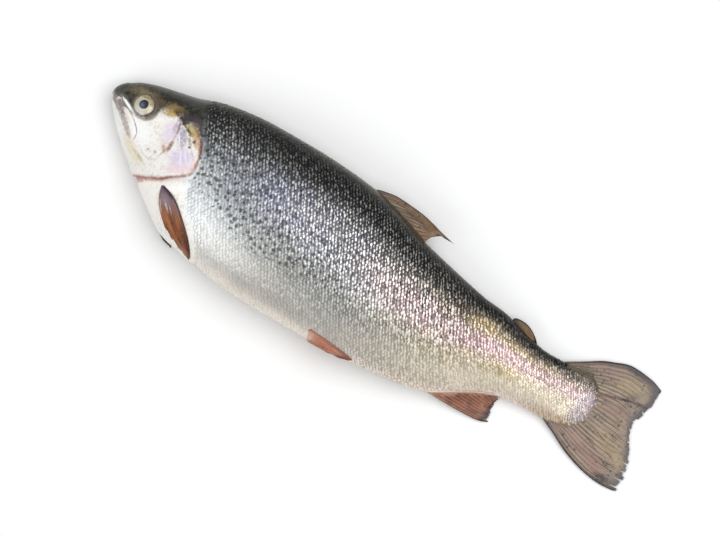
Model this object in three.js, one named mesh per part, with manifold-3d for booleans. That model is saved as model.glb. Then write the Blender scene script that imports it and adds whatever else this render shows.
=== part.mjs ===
// A rainbow trout lying on its right side, life size: left flank up, head toward -X, back toward +Y.
// Sizes are in millimetres, +Z is up. The fish is drawn from its snout (x = 0) and its long axis (y = 0),
// and the finished model is moved so that its origin is the middle of its underside.
import * as THREE from 'three';
import { ParametricGeometry } from 'three/addons/geometries/ParametricGeometry.js';
import { mergeVertices } from 'three/addons/utils/BufferGeometryUtils.js';
import Module from 'manifold-3d';

const wasm = await Module();
wasm.setup();

// Driving dimensions of the body, from snout to scaled tail base. Each station gives its distance from
// the snout, the heights of the back and belly lines, half the body's width and the height of its middle
// above the ground, to which the limp body sags.
const STATIONS = {
  snout: { x: -2, back: 13, belly: -1.5, halfWidth: 7, axis: 15.5 },
  lip: { x: 5, back: 16.3, belly: -7, halfWidth: 9, axis: 15.9 },
  nostril: { x: 12, back: 20.9, belly: -14.3, halfWidth: 11.4, axis: 16.4 },
  eye: { x: 23, back: 25.4, belly: -23.2, halfWidth: 14.4, axis: 17.3 },
  jawJoint: { x: 36, back: 29.1, belly: -32.8, halfWidth: 18, axis: 18.6 },
  cheek: { x: 52, back: 33.4, belly: -43.5, halfWidth: 22.3, axis: 20.8 },
  nape: { x: 66, back: 39.2, belly: -53, halfWidth: 25.2, axis: 23 },
  gillOpening: { x: 80, back: 42.8, belly: -61.3, halfWidth: 27, axis: 24.8 },
  shoulder: { x: 100, back: 46.2, belly: -65.4, halfWidth: 28.8, axis: 26.6 },
  foreTrunk: { x: 125, back: 47.9, belly: -68.6, halfWidth: 30.5, axis: 28.3 },
  deepest: { x: 155, back: 49, belly: -70, halfWidth: 31.2, axis: 29 },
  dorsalFinFront: { x: 192, back: 47.4, belly: -68.6, halfWidth: 30.4, axis: 28.2 },
  dorsalFinMiddle: { x: 216, back: 42.4, belly: -67.4, halfWidth: 29, axis: 26.8 },
  dorsalFinRear: { x: 241, back: 35.6, belly: -65.2, halfWidth: 26.6, axis: 24.4 },
  vent: { x: 276, back: 29.1, belly: -59.8, halfWidth: 21.6, axis: 19.4 },
  analFinFront: { x: 299, back: 25.6, belly: -53, halfWidth: 17.6, axis: 15.6 },
  analFinMiddle: { x: 318, back: 24.4, belly: -41.5, halfWidth: 14.6, axis: 12.8 },
  analFinRear: { x: 337, back: 20, belly: -30.7, halfWidth: 12, axis: 10.4 },
  peduncle: { x: 358, back: 17.2, belly: -26, halfWidth: 10, axis: 8.6 },
  tailBase: { x: 378, back: 19.6, belly: -24.2, halfWidth: 7.2, axis: 6.6 },
  lastScale: { x: 407, back: 22, belly: -22, halfWidth: 2.4, axis: 4.4 },
};
const SNOUT_ROUNDING = 6.5; // length over which the snout rounds off
const TAIL_ROUNDING = 16; // length over which the scaled tail base rounds off
const SECTION_POWER = 0.94; // below 1 a section is fuller than an ellipse
const SHOULDER_FULLNESS = 0.05; // how much wider a section is above its middle than below
const FLANK_REACH = 0.97; // how near the edge of a section's height a folded fin follows the skin
const BODY_RINGS = 54; // sections along the body
const RING_SIDES = 28; // points round each section

const CUT = 0.3; // width of the thin cuts between neighbouring pieces
const PLATE_THICKNESS = 3.2; // gill covers and upper jaw bones, measured in from the skin
const LOWEST_CUT = -20; // cutting shapes reach from here
const HIGHEST_CUT = 90; // to here

// The eyeballs are flattened spheres at a height either side of the body's axis.
const EYE = {
  x: 23, y: 8.3, fromAxis: 7.9, radius: 8.2, depth: 6.1, sides: 14, rings: 9,
  opening: 7.4, openingReach: 20, openingSides: 18,
};

// Outlines on the side of the head, as [x, y] corners.
const HEAD_OUTLINE = [
  [-20, 60], [72, 60], [66, 30], [61, 16], [58, 0], [56, -12], [52, -25], [43, -37], [40, -60], [-20, -60],
];
const JAW_OUTLINE = [
  [-20, 4], [-0.9, 2], [5, -1.8], [11.5, -6], [16.5, -10.2], [22.7, -14.4], [28, -16.8], [36, -21],
  [37, -50], [-20, -50],
];
// A plate on each side of the head. The split is the height between the right plate and the left one.
const UPPER_JAW = {
  split: 17,
  outline: [
    [5, 4.6], [10.7, 1], [16, -0.6], [21.4, -3.8], [27.1, -8.6], [29.2, -12], [29.6, -16.4],
    [27.4, -16.2], [22.8, -14.1], [16.6, -9.9], [11.6, -5.7], [4.4, -1.1],
  ],
};
const GILL_COVER = {
  split: 21.5,
  outline: [
    [51.5, 12.6], [56, 14.6], [61.7, 14.8], [68.9, 10.2], [74.7, 3.8], [77, -3.3], [78.2, -9.2],
    [77.6, -14.6], [73.5, -18.9], [66.5, -24.3], [60.6, -29], [54.3, -32.2], [48, -35], [43.5, -35],
    [45.5, -28], [49.6, -21], [52.6, -14], [53.9, -6], [53.6, 4],
  ],
};

// Where the body behind the head is divided: inside the head, at the two cuts, and past the tail base.
const TRUNK_ENDS = { start: 30, middle: 190, tail: 297, end: 420 };
const TRUNK_CUT_SPAN = 300; // width of the blocks that divide the trunk

const FIN_LOOP = 8; // points round a fin's section
const FIN_THICKNESS = { root: 1.8, edge: 0.8 };
const FIN_BLUNTNESS = 0.3; // below 1 a fin's edges are blunter than an ellipse's
const FIN_GROUND_GAP = 0.5; // how far a drooping fin stays above the ground

// Fins in the plane of the body. The base is sunk in the flesh, the margin runs from the base's front end
// round the tip to its rear end, and columns is how many points are set along them.
const DORSAL_FIN = {
  columns: 15,
  base: [[192, 45.5], [216, 40.5], [241, 34]],
  margin: [
    [193, 47.8], [203, 50.7], [211, 51.6], [228, 51], [237.5, 49.6], [247.5, 47.2], [259.7, 45.2],
    [248.7, 44.9], [243.6, 40.5], [241.6, 36],
  ],
};
const ADIPOSE_FIN = {
  columns: 10,
  base: [[324, 22], [334, 20.5], [344, 17]],
  margin: [[324.4, 24.8], [328.5, 26.1], [334, 26], [339, 24.4], [344.4, 21.2], [347.9, 18]],
};
const ANAL_FIN = {
  columns: 15,
  base: [[299, -50], [318, -40], [344, -27.5]],
  margin: [
    [299.8, -53], [306, -52.8], [320.5, -52.5], [336.6, -51.3], [344.1, -49.9], [349.2, -47.4],
    [348.5, -43.6], [346.2, -37.5], [345.6, -29.5],
  ],
};
const CAUDAL_FIN = {
  columns: 24,
  base: [[369, 16], [386, 14], [396, 0], [386, -16], [370, -21]],
  margin: [
    [370.5, 20.2], [385, 27.6], [398, 36], [411.3, 41.5], [419.4, 42], [435.2, 39.7], [439.2, 36],
    [438.6, 24], [435, 12], [435.4, 3], [441.2, -7], [446.9, -18.5], [450.1, -30], [451.2, -37],
    [448, -40], [438, -41.3], [424, -40.2], [411.8, -37.1], [396, -31], [383.4, -26], [374.2, -24.6],
  ],
};
// The paired fins lie folded on the skin: the upper ones on the flank, the lower ones between the flank
// and the ground.
const LEFT_PECTORAL_FIN = {
  columns: 14,
  base: [[65, -31.4], [68, -32], [71, -32.3]],
  margin: [
    [64.7, -33], [67.1, -39.1], [75.4, -50.6], [91.6, -61.2], [107.4, -66.1], [107, -62],
    [93.5, -47.2], [84, -39.1], [76.4, -33.9], [72, -32.2],
  ],
};
const RIGHT_PECTORAL_FIN = {
  columns: 12,
  base: [[65, -34.4], [68, -35], [71, -35.3]],
  margin: [
    [64.7, -36], [66, -46], [72, -57], [84.5, -64.4], [91, -66.9], [90, -58], [84, -45], [72.5, -35.4],
  ],
};
// The belly fins wrap the belly's edge, so they are given by the angle from the belly line, in degrees.
const PELVIC_FIN = {
  columns: 10,
  base: [[207, 29], [207.5, 20], [208.5, 11]],
  margin: [[208, 32], [221, 31], [233, 27], [244.2, 21], [238, 12], [224, 6], [210, 8.5]],
};
const SKIN_LIFT = 0.9; // how far the middle of a folded fin stays off the skin

// A smooth curve of one station value along the body.
function alongBody(key) {
  const stations = Object.values(STATIONS);
  const last = stations.length - 1;
  const slope = (i) => {
    const before = stations[Math.max(i - 1, 0)];
    const after = stations[Math.min(i + 1, last)];
    return (after[key] - before[key]) / (after.x - before.x);
  };
  return (x) => {
    const past = stations.findIndex((station) => station.x > x);
    const i = past < 0 ? last - 1 : Math.max(past - 1, 0);
    const span = stations[i + 1].x - stations[i].x;
    const t = THREE.MathUtils.clamp((x - stations[i].x) / span, 0, 1);
    const start = stations[i][key] * (1 + 2 * t) * (1 - t) ** 2;
    const end = stations[i + 1][key] * t ** 2 * (3 - 2 * t);
    return start + end + span * t * (1 - t) * (slope(i) * (1 - t) - slope(i + 1) * t);
  };
}

const backLine = alongBody('back');
const bellyLine = alongBody('belly');
const halfWidthAt = alongBody('halfWidth');
const axisAt = alongBody('axis');

// How much of a section's full size is left where an end rounds off, from 0 at the tip to 1.
function endRounding(x) {
  const fromSnout = Math.min((x - STATIONS.snout.x) / SNOUT_ROUNDING, 1);
  const fromTail = Math.min((STATIONS.lastScale.x - x) / TAIL_ROUNDING, 1);
  const rounding = (share) => Math.sqrt(Math.max(1 - (1 - share) ** 2, 0));
  return rounding(fromSnout) * rounding(fromTail);
}

function sectionAt(x, offset) {
  const rounding = endRounding(x);
  const halfHeight = (backLine(x) - bellyLine(x)) / 2;
  return {
    middle: (backLine(x) + bellyLine(x)) / 2,
    halfHeight: Math.max(halfHeight * rounding + offset, 0),
    halfWidth: Math.max(halfWidthAt(x) * rounding + offset, 0),
  };
}

const rounded = (value) => Math.sign(value) * Math.abs(value) ** SECTION_POWER;

// A point on the skin, moved out by an offset. The angle runs from the back (0) over the upper flank.
function skinPoint(x, angle, offset, target) {
  const section = sectionAt(x, offset);
  const across = section.halfWidth * rounded(Math.sin(angle)) * (1 + SHOULDER_FULLNESS * Math.cos(angle));
  const y = section.middle + section.halfHeight * rounded(Math.cos(angle));
  return target.set(x, y, Math.max(axisAt(x) + across, -offset));
}

// The height of the upper flank's skin above a point of the side view.
function flankHeight(x, y) {
  const section = sectionAt(x, 0);
  const height = (y - section.middle) / section.halfHeight;
  const share = THREE.MathUtils.clamp(height, -FLANK_REACH, FLANK_REACH);
  const cosine = Math.sign(share) * Math.abs(share) ** (1 / SECTION_POWER);
  const sine = Math.sqrt(1 - cosine ** 2);
  return axisAt(x) + section.halfWidth * rounded(sine) * (1 + SHOULDER_FULLNESS * cosine);
}

function bodyGeometry(offset) {
  const length = STATIONS.lastScale.x - STATIONS.snout.x + 2 * offset;
  const surface = (u, v, target) => {
    const inside = (1 - Math.cos(Math.PI * v)) / 2;
    const x = STATIONS.snout.x - offset + length * inside;
    const held = THREE.MathUtils.clamp(x, STATIONS.snout.x, STATIONS.lastScale.x);
    const atTip = v === 0 || v === 1;
    skinPoint(held, 2 * Math.PI * u, offset, target);
    if (atTip) target.set(x, sectionAt(held, 0).middle, axisAt(held));
    else target.x = x;
  };
  return new ParametricGeometry(surface, RING_SIDES, BODY_RINGS);
}

const flatPoints = (points) => points.map(([x, y]) => new THREE.Vector2(x, y));

// A geometry as a solid: its shared points are joined and its collapsed faces dropped.
function solidOf(geometry) {
  const bare = geometry.clone();
  bare.deleteAttribute('normal');
  bare.deleteAttribute('uv');
  const joined = mergeVertices(bare);
  const corners = joined.index.array;
  const kept = [];
  for (let i = 0; i < corners.length; i += 3) {
    const [a, b, c] = corners.slice(i, i + 3);
    if (a !== b && b !== c && c !== a) kept.push(a, b, c);
  }
  const vertProperties = new Float32Array(joined.attributes.position.array);
  const triVerts = new Uint32Array(kept);
  return new wasm.Manifold(new wasm.Mesh({ numProp: 3, vertProperties, triVerts }));
}

function meshOf(name, solid, material) {
  const { vertProperties, triVerts } = solid.getMesh();
  const geometry = new THREE.BufferGeometry();
  geometry.setAttribute('position', new THREE.BufferAttribute(vertProperties, 3));
  geometry.setIndex(new THREE.BufferAttribute(triVerts, 1));
  geometry.computeVertexNormals();
  const mesh = new THREE.Mesh(geometry, material);
  mesh.name = name;
  return mesh;
}

// An upright block over an outline, between two heights.
function blockOver(outline, bottom, top) {
  const shape = new THREE.Shape(flatPoints(outline));
  const geometry = new THREE.ExtrudeGeometry(shape, { depth: top - bottom, bevelEnabled: false });
  geometry.translate(0, 0, bottom);
  return solidOf(geometry);
}

// An outline moved outward by a distance, whichever way round its corners run.
function grown(outline, distance) {
  const way = THREE.ShapeUtils.isClockWise(flatPoints(outline)) ? -1 : 1;
  return outline.map(([x, y], i) => {
    const before = outline[(i + outline.length - 1) % outline.length];
    const after = outline[(i + 1) % outline.length];
    const inward = new THREE.Vector2(x - before[0], y - before[1]).normalize();
    const onward = new THREE.Vector2(after[0] - x, after[1] - y).normalize();
    const along = inward.clone().add(onward).normalize();
    const reach = (way * distance) / Math.max(along.dot(onward), 0.5);
    return [x + along.y * reach, y - along.x * reach];
  });
}

function lengthBetween(from, to) {
  const box = new THREE.BoxGeometry(to - from, TRUNK_CUT_SPAN, HIGHEST_CUT - LOWEST_CUT);
  box.translate((from + to) / 2, 0, (HIGHEST_CUT + LOWEST_CUT) / 2);
  return solidOf(box);
}

// A thin fin between its base and its margin. place(x, y, share, offset, target) sets the point that lies
// an offset above the fin's middle, a share of the way from base to margin.
function finSolid(fin, place) {
  const base = new THREE.SplineCurve(flatPoints(fin.base));
  const margin = new THREE.SplineCurve(flatPoints(fin.margin));
  const way = THREE.ShapeUtils.isClockWise(flatPoints(fin.margin)) ? -1 : 1;
  const surface = (u, v, target) => {
    const along = (1 - Math.cos(Math.PI * v)) / 2;
    const share = (1 - Math.cos(2 * Math.PI * u)) / 2;
    const flat = base.getPoint(along).lerp(margin.getPoint(along), share);
    const blunt = (sine) => Math.sign(sine) * Math.abs(sine) ** FIN_BLUNTNESS;
    const edge = v === 0 || v === 1 ? 0 : blunt(Math.sin(Math.PI * v));
    const thickness = THREE.MathUtils.lerp(FIN_THICKNESS.root, FIN_THICKNESS.edge, share);
    const side = share === 0 || share === 1 ? 0 : way * blunt(Math.sin(2 * Math.PI * u));
    place(flat.x, flat.y, share, (thickness / 2) * side * edge, target);
  };
  return solidOf(new ParametricGeometry(surface, FIN_LOOP, fin.columns));
}

// A fin in the plane of the body, which droops from the body's axis toward the ground at its margin.
function drooping(droop) {
  const lowest = FIN_GROUND_GAP + FIN_THICKNESS.root / 2;
  return (x, y, share, offset, target) => {
    const height = THREE.MathUtils.lerp(axisAt(x), lowest, droop * Math.sqrt(share));
    return target.set(x, y, Math.max(height, lowest) + offset);
  };
}

function onFlank(x, y, share, offset, target) {
  return target.set(x, y, flankHeight(x, y) + SKIN_LIFT + offset);
}

function onGround(x, y, share, offset, target) {
  return target.set(x, y, FIN_GROUND_GAP + FIN_THICKNESS.root / 2 + offset);
}

// side is 1 for the upper flank and -1 for the lower one.
function onBelly(side) {
  return (x, degrees, share, offset, target) => {
    const angle = Math.PI - side * THREE.MathUtils.degToRad(degrees);
    return skinPoint(x, angle, SKIN_LIFT + side * offset, target);
  };
}

function eyeSolid(side, gap) {
  const ball = new THREE.SphereGeometry(1, EYE.sides, EYE.rings);
  ball.rotateX(Math.PI / 2);
  ball.scale(EYE.radius + gap, EYE.radius + gap, EYE.depth + gap);
  ball.translate(EYE.x, EYE.y, axisAt(EYE.x) + side * EYE.fromAxis);
  return solidOf(ball);
}

// The round opening in front of an eye, out to beyond the skin.
function eyeOpening(side) {
  const hole = new THREE.CylinderGeometry(EYE.opening, EYE.opening, EYE.openingReach, EYE.openingSides);
  hole.rotateX(Math.PI / 2);
  hole.translate(EYE.x, EYE.y, axisAt(EYE.x) + side * (EYE.fromAxis + EYE.openingReach / 2));
  return solidOf(hole);
}

const flesh = (color) => new THREE.MeshStandardMaterial({ color, roughness: 0.35, metalness: 0.1 });
const scaled = (color) => new THREE.MeshStandardMaterial({ color, roughness: 0.28, metalness: 0.35 });
const finSkin = (color) => new THREE.MeshStandardMaterial({ color, roughness: 0.5, metalness: 0 });
const eyeGloss = () => new THREE.MeshStandardMaterial({ color: 0xe6dcc0, roughness: 0.08, metalness: 0 });

const body = solidOf(bodyGeometry(0));
const bodyWithGap = solidOf(bodyGeometry(CUT));
const core = solidOf(bodyGeometry(-PLATE_THICKNESS));
const coreInsideCut = solidOf(bodyGeometry(-PLATE_THICKNESS - CUT));

// A plate of skin and bone over an outline on one side of the head, and the larger space cut out for it.
function plateAndSpace({ split, outline }, side) {
  const [bottom, top] = side > 0 ? [split + CUT / 2, HIGHEST_CUT] : [LOWEST_CUT, split - CUT / 2];
  const plate = body.intersect(blockOver(outline, bottom, top)).subtract(core);
  const space = blockOver(grown(outline, CUT), bottom - CUT, top + CUT).subtract(coreInsideCut);
  return { plate, space };
}

const sides = { left: 1, right: -1 };
const covers = {};
const upperJaws = {};
for (const [name, side] of Object.entries(sides)) {
  covers[name] = plateAndSpace(GILL_COVER, side);
  upperJaws[name] = plateAndSpace(UPPER_JAW, side);
}

function headSolid() {
  let head = body.intersect(blockOver(HEAD_OUTLINE, LOWEST_CUT, HIGHEST_CUT));
  head = head.subtract(blockOver(grown(JAW_OUTLINE, CUT), LOWEST_CUT, HIGHEST_CUT));
  for (const [name, side] of Object.entries(sides)) {
    head = head.subtract(covers[name].space);
    head = head.subtract(upperJaws[name].space);
    head = head.subtract(eyeSolid(side, CUT));
    head = head.subtract(eyeOpening(side));
  }
  return head;
}

function jawSolid() {
  const jaw = body.intersect(blockOver(JAW_OUTLINE, LOWEST_CUT, HIGHEST_CUT));
  return jaw.subtract(upperJaws.left.space).subtract(upperJaws.right.space);
}

function frontTrunkSolid() {
  const trunk = body.intersect(lengthBetween(TRUNK_ENDS.start, TRUNK_ENDS.middle - CUT / 2));
  const behindHead = trunk.subtract(blockOver(grown(HEAD_OUTLINE, CUT), LOWEST_CUT, HIGHEST_CUT));
  return behindHead.subtract(covers.left.space).subtract(covers.right.space);
}

const trout = new THREE.Group();
trout.add(
  meshOf('head', headSolid(), flesh(0x4b4a3f)),
  meshOf('lower_jaw', jawSolid(), flesh(0xd8cdc0)),
  meshOf('trunk_front', frontTrunkSolid(), scaled(0x8f918c)),
);
for (const [name, side] of Object.entries(sides)) {
  const pelvic = finSolid(PELVIC_FIN, onBelly(side)).subtract(bodyWithGap);
  trout.add(
    meshOf(`gill_cover_${name}`, covers[name].plate, flesh(0xd9cade)),
    meshOf(`upper_jaw_${name}`, upperJaws[name].plate, flesh(0xe8e0d2)),
    meshOf(`eye_${name}`, eyeSolid(side, 0), eyeGloss()),
    meshOf(`pelvic_fin_${name}`, pelvic, finSkin(0xc3836a)),
  );
}
const rearTrunk = lengthBetween(TRUNK_ENDS.middle + CUT / 2, TRUNK_ENDS.tail - CUT / 2);
const tail = lengthBetween(TRUNK_ENDS.tail + CUT / 2, TRUNK_ENDS.end);
const leftPectoral = finSolid(LEFT_PECTORAL_FIN, onFlank).subtract(bodyWithGap);
const rightPectoral = finSolid(RIGHT_PECTORAL_FIN, onGround).subtract(bodyWithGap);
trout.add(
  meshOf('trunk_rear', body.intersect(rearTrunk), scaled(0x9a9b94)),
  meshOf('tail', body.intersect(tail), scaled(0xc9b487)),
  meshOf('dorsal_fin', finSolid(DORSAL_FIN, drooping(0)).subtract(bodyWithGap), finSkin(0x7d6455)),
  meshOf('adipose_fin', finSolid(ADIPOSE_FIN, drooping(0)).subtract(bodyWithGap), finSkin(0x75644c)),
  meshOf('anal_fin', finSolid(ANAL_FIN, drooping(1)).subtract(bodyWithGap), finSkin(0x96604f)),
  meshOf('caudal_fin', finSolid(CAUDAL_FIN, drooping(1)).subtract(bodyWithGap), finSkin(0xa58f7e)),
  meshOf('pectoral_fin_left', leftPectoral, finSkin(0x8f5638)),
  meshOf('pectoral_fin_right', rightPectoral, finSkin(0x8f5638)),
);

const box = new THREE.Box3().setFromObject(trout);
const middle = box.getCenter(new THREE.Vector3());
trout.position.set(-middle.x, -middle.y, -box.min.z);
trout.updateMatrixWorld(true);

export default trout;
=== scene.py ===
"""A rainbow trout, life-size and still, lying on its right side on a pale floor.

The body is worked out in its own frame, in millimetres: x runs from the snout to the tail, y from the
mid-line towards the back, and z up from the floor, out of the left flank. One skin covers the whole body.
Solid scales lie over it, and the eyes and the eight fins are pieces of their own.
"""

from __future__ import annotations

import logging
import math
from dataclasses import dataclass
from enum import Enum
from typing import Iterable, Sequence

import bmesh
import bpy
import numpy as np
from bpy.types import Material, Mesh, Node, NodeSocket, NodeTree, Object
from mathutils import Matrix, Vector

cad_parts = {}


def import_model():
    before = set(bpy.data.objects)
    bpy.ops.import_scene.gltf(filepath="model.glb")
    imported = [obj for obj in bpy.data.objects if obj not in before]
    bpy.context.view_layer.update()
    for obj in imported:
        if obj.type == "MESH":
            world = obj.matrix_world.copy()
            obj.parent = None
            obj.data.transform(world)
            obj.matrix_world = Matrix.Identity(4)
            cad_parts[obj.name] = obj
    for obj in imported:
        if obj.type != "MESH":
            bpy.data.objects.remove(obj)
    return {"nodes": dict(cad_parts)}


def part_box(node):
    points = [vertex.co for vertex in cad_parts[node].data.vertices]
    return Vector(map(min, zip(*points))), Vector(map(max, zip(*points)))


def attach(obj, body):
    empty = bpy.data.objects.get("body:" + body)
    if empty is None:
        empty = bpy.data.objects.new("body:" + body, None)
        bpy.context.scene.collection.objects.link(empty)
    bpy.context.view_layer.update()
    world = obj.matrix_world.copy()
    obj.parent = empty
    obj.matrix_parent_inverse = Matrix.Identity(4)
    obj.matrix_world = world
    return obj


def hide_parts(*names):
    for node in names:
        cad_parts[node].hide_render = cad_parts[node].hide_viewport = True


MM = 0.001
TURN = 2 * math.pi
BODY = "root"
BODY_LENGTH = 450.0
FINE_STEPS = 4001
LOG = logging.getLogger("rainbow_trout")

Array = np.ndarray
Colour = tuple[float, float, float, float]
Point2 = tuple[float, float]
Stops = tuple[tuple[float, str], ...]

ORIGIN = (0.0, 0.0, 0.0)
BLACK = (0.0, 0.0, 0.0, 1.0)
FLATTEN = (1.0, 1.0, 0.0)


def shade(code: str) -> Colour:
    """Turns a screen colour into the linear values that a shader uses.

    Args:
        code: six hexadecimal digits, red then green then blue.

    Returns:
        Linear red, green, blue and an opacity of one.
    """
    parts = [int(code[i : i + 2], 16) / 255 for i in (0, 2, 4)]
    linear = [p / 12.92 if p <= 0.04045 else ((p + 0.055) / 1.055) ** 2.4 for p in parts]
    return (linear[0], linear[1], linear[2], 1.0)


def smooth_step(low: float, high: float, value: Array) -> Array:
    """Rises smoothly from 0 at low to 1 at high, and works downhill too when low is above high."""
    share = np.clip((value - low) / (high - low), 0, 1)
    return share * share * (3 - 2 * share)


def bell(value: Array, centre: float, spread: float) -> Array:
    """A bump of height 1 at the centre that falls away over the spread."""
    return np.exp(-(((value - centre) / spread) ** 2))


def running(steps: Array) -> Array:
    """The running total of some steps, from 0."""
    return np.concatenate([[0.0], np.cumsum(steps)])


def unit(vectors: Array) -> Array:
    """The same directions at length 1."""
    return vectors / np.maximum(np.linalg.norm(vectors, axis=-1, keepdims=True), 1e-12)


# --- lines on the flank


class Trace:
    """A smooth line on the flank, seen from the side, through a few points in millimetres."""

    STEPS = 8

    def __init__(self, points: Sequence[Point2], closed: bool = False) -> None:
        """Runs a Catmull-Rom curve through the points.

        Args:
            points: what the line passes through, in order.
            closed: whether the last point joins the first.
        """
        corners = np.array(points, float)
        if closed:
            padded = np.vstack([corners[-1:], corners, corners[:2]])
        else:
            first = 2 * corners[:1] - corners[1:2]
            last = 2 * corners[-1:] - corners[-2:-1]
            padded = np.vstack([first, corners, last])
        share = np.linspace(0, 1, self.STEPS, endpoint=False)[:, None]
        spans = [self._span(*four, share) for four in zip(padded, padded[1:], padded[2:], padded[3:])]
        self.points = np.vstack([*spans, padded[-2:-1]])
        steps = np.linalg.norm(np.diff(self.points, axis=0), axis=1)
        self.lengths = running(steps)
        self.closed = closed

    @staticmethod
    def _span(before: Array, start: Array, end: Array, after: Array, t: Array) -> Array:
        """The points of one Catmull-Rom span."""
        pull = (end - before) * t + (2 * before - 5 * start + 4 * end - after) * t**2
        return start + 0.5 * (pull + (3 * start - before - 3 * end + after) * t**3)

    def at(self, share: Array) -> Array:
        """The points that lie at these shares, 0 to 1, of the line's length."""
        along = np.asarray(share) * self.lengths[-1]
        return np.stack([np.interp(along, self.lengths, self.points[:, axis]) for axis in (0, 1)], -1)

    def measure(self, x: Array, y: Array) -> tuple[Array, Array]:
        """Measures how far points lie from the line.

        Args:
            x: places along the body.
            y: heights towards the back.

        Returns:
            The distance, positive on the left of the line's direction or inside a closed line, and the share
            of the line's length at the nearest point.
        """
        start, end = self.points[:-1], self.points[1:]
        run = end - start
        size = np.maximum((run**2).sum(1), 1e-9)
        away_x, away_y = x[:, None] - start[:, 0], y[:, None] - start[:, 1]
        t = np.clip((away_x * run[:, 0] + away_y * run[:, 1]) / size, 0, 1)
        gap_x, gap_y = away_x - t * run[:, 0], away_y - t * run[:, 1]
        gaps = np.hypot(gap_x, gap_y)
        nearest = gaps.argmin(1)
        rows = np.arange(len(x))
        share = (self.lengths[nearest] + t[rows, nearest] * np.sqrt(size[nearest])) / self.lengths[-1]
        if self.closed:
            crosses = (start[:, 1] > y[:, None]) != (end[:, 1] > y[:, None])
            rise = np.where(np.abs(run[:, 1]) < 1e-9, 1e-9, run[:, 1])
            reach = start[:, 0] + (y[:, None] - start[:, 1]) * run[:, 0] / rise
            inside = (crosses & (x[:, None] < reach)).sum(1) % 2 == 1
            sign = np.where(inside, 1.0, -1.0)
        else:
            turn = run[nearest, 0] * away_y[rows, nearest] - run[nearest, 1] * away_x[rows, nearest]
            sign = np.where(turn >= 0, 1.0, -1.0)
        return gaps[rows, nearest] * sign, share


# --- the body's form


@dataclass(frozen=True)
class Station:
    """One cross-section: where it is, its back and belly, its half width and how high its middle lies."""

    x: float
    back: float
    belly: float
    half_width: float
    axis: float


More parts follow.
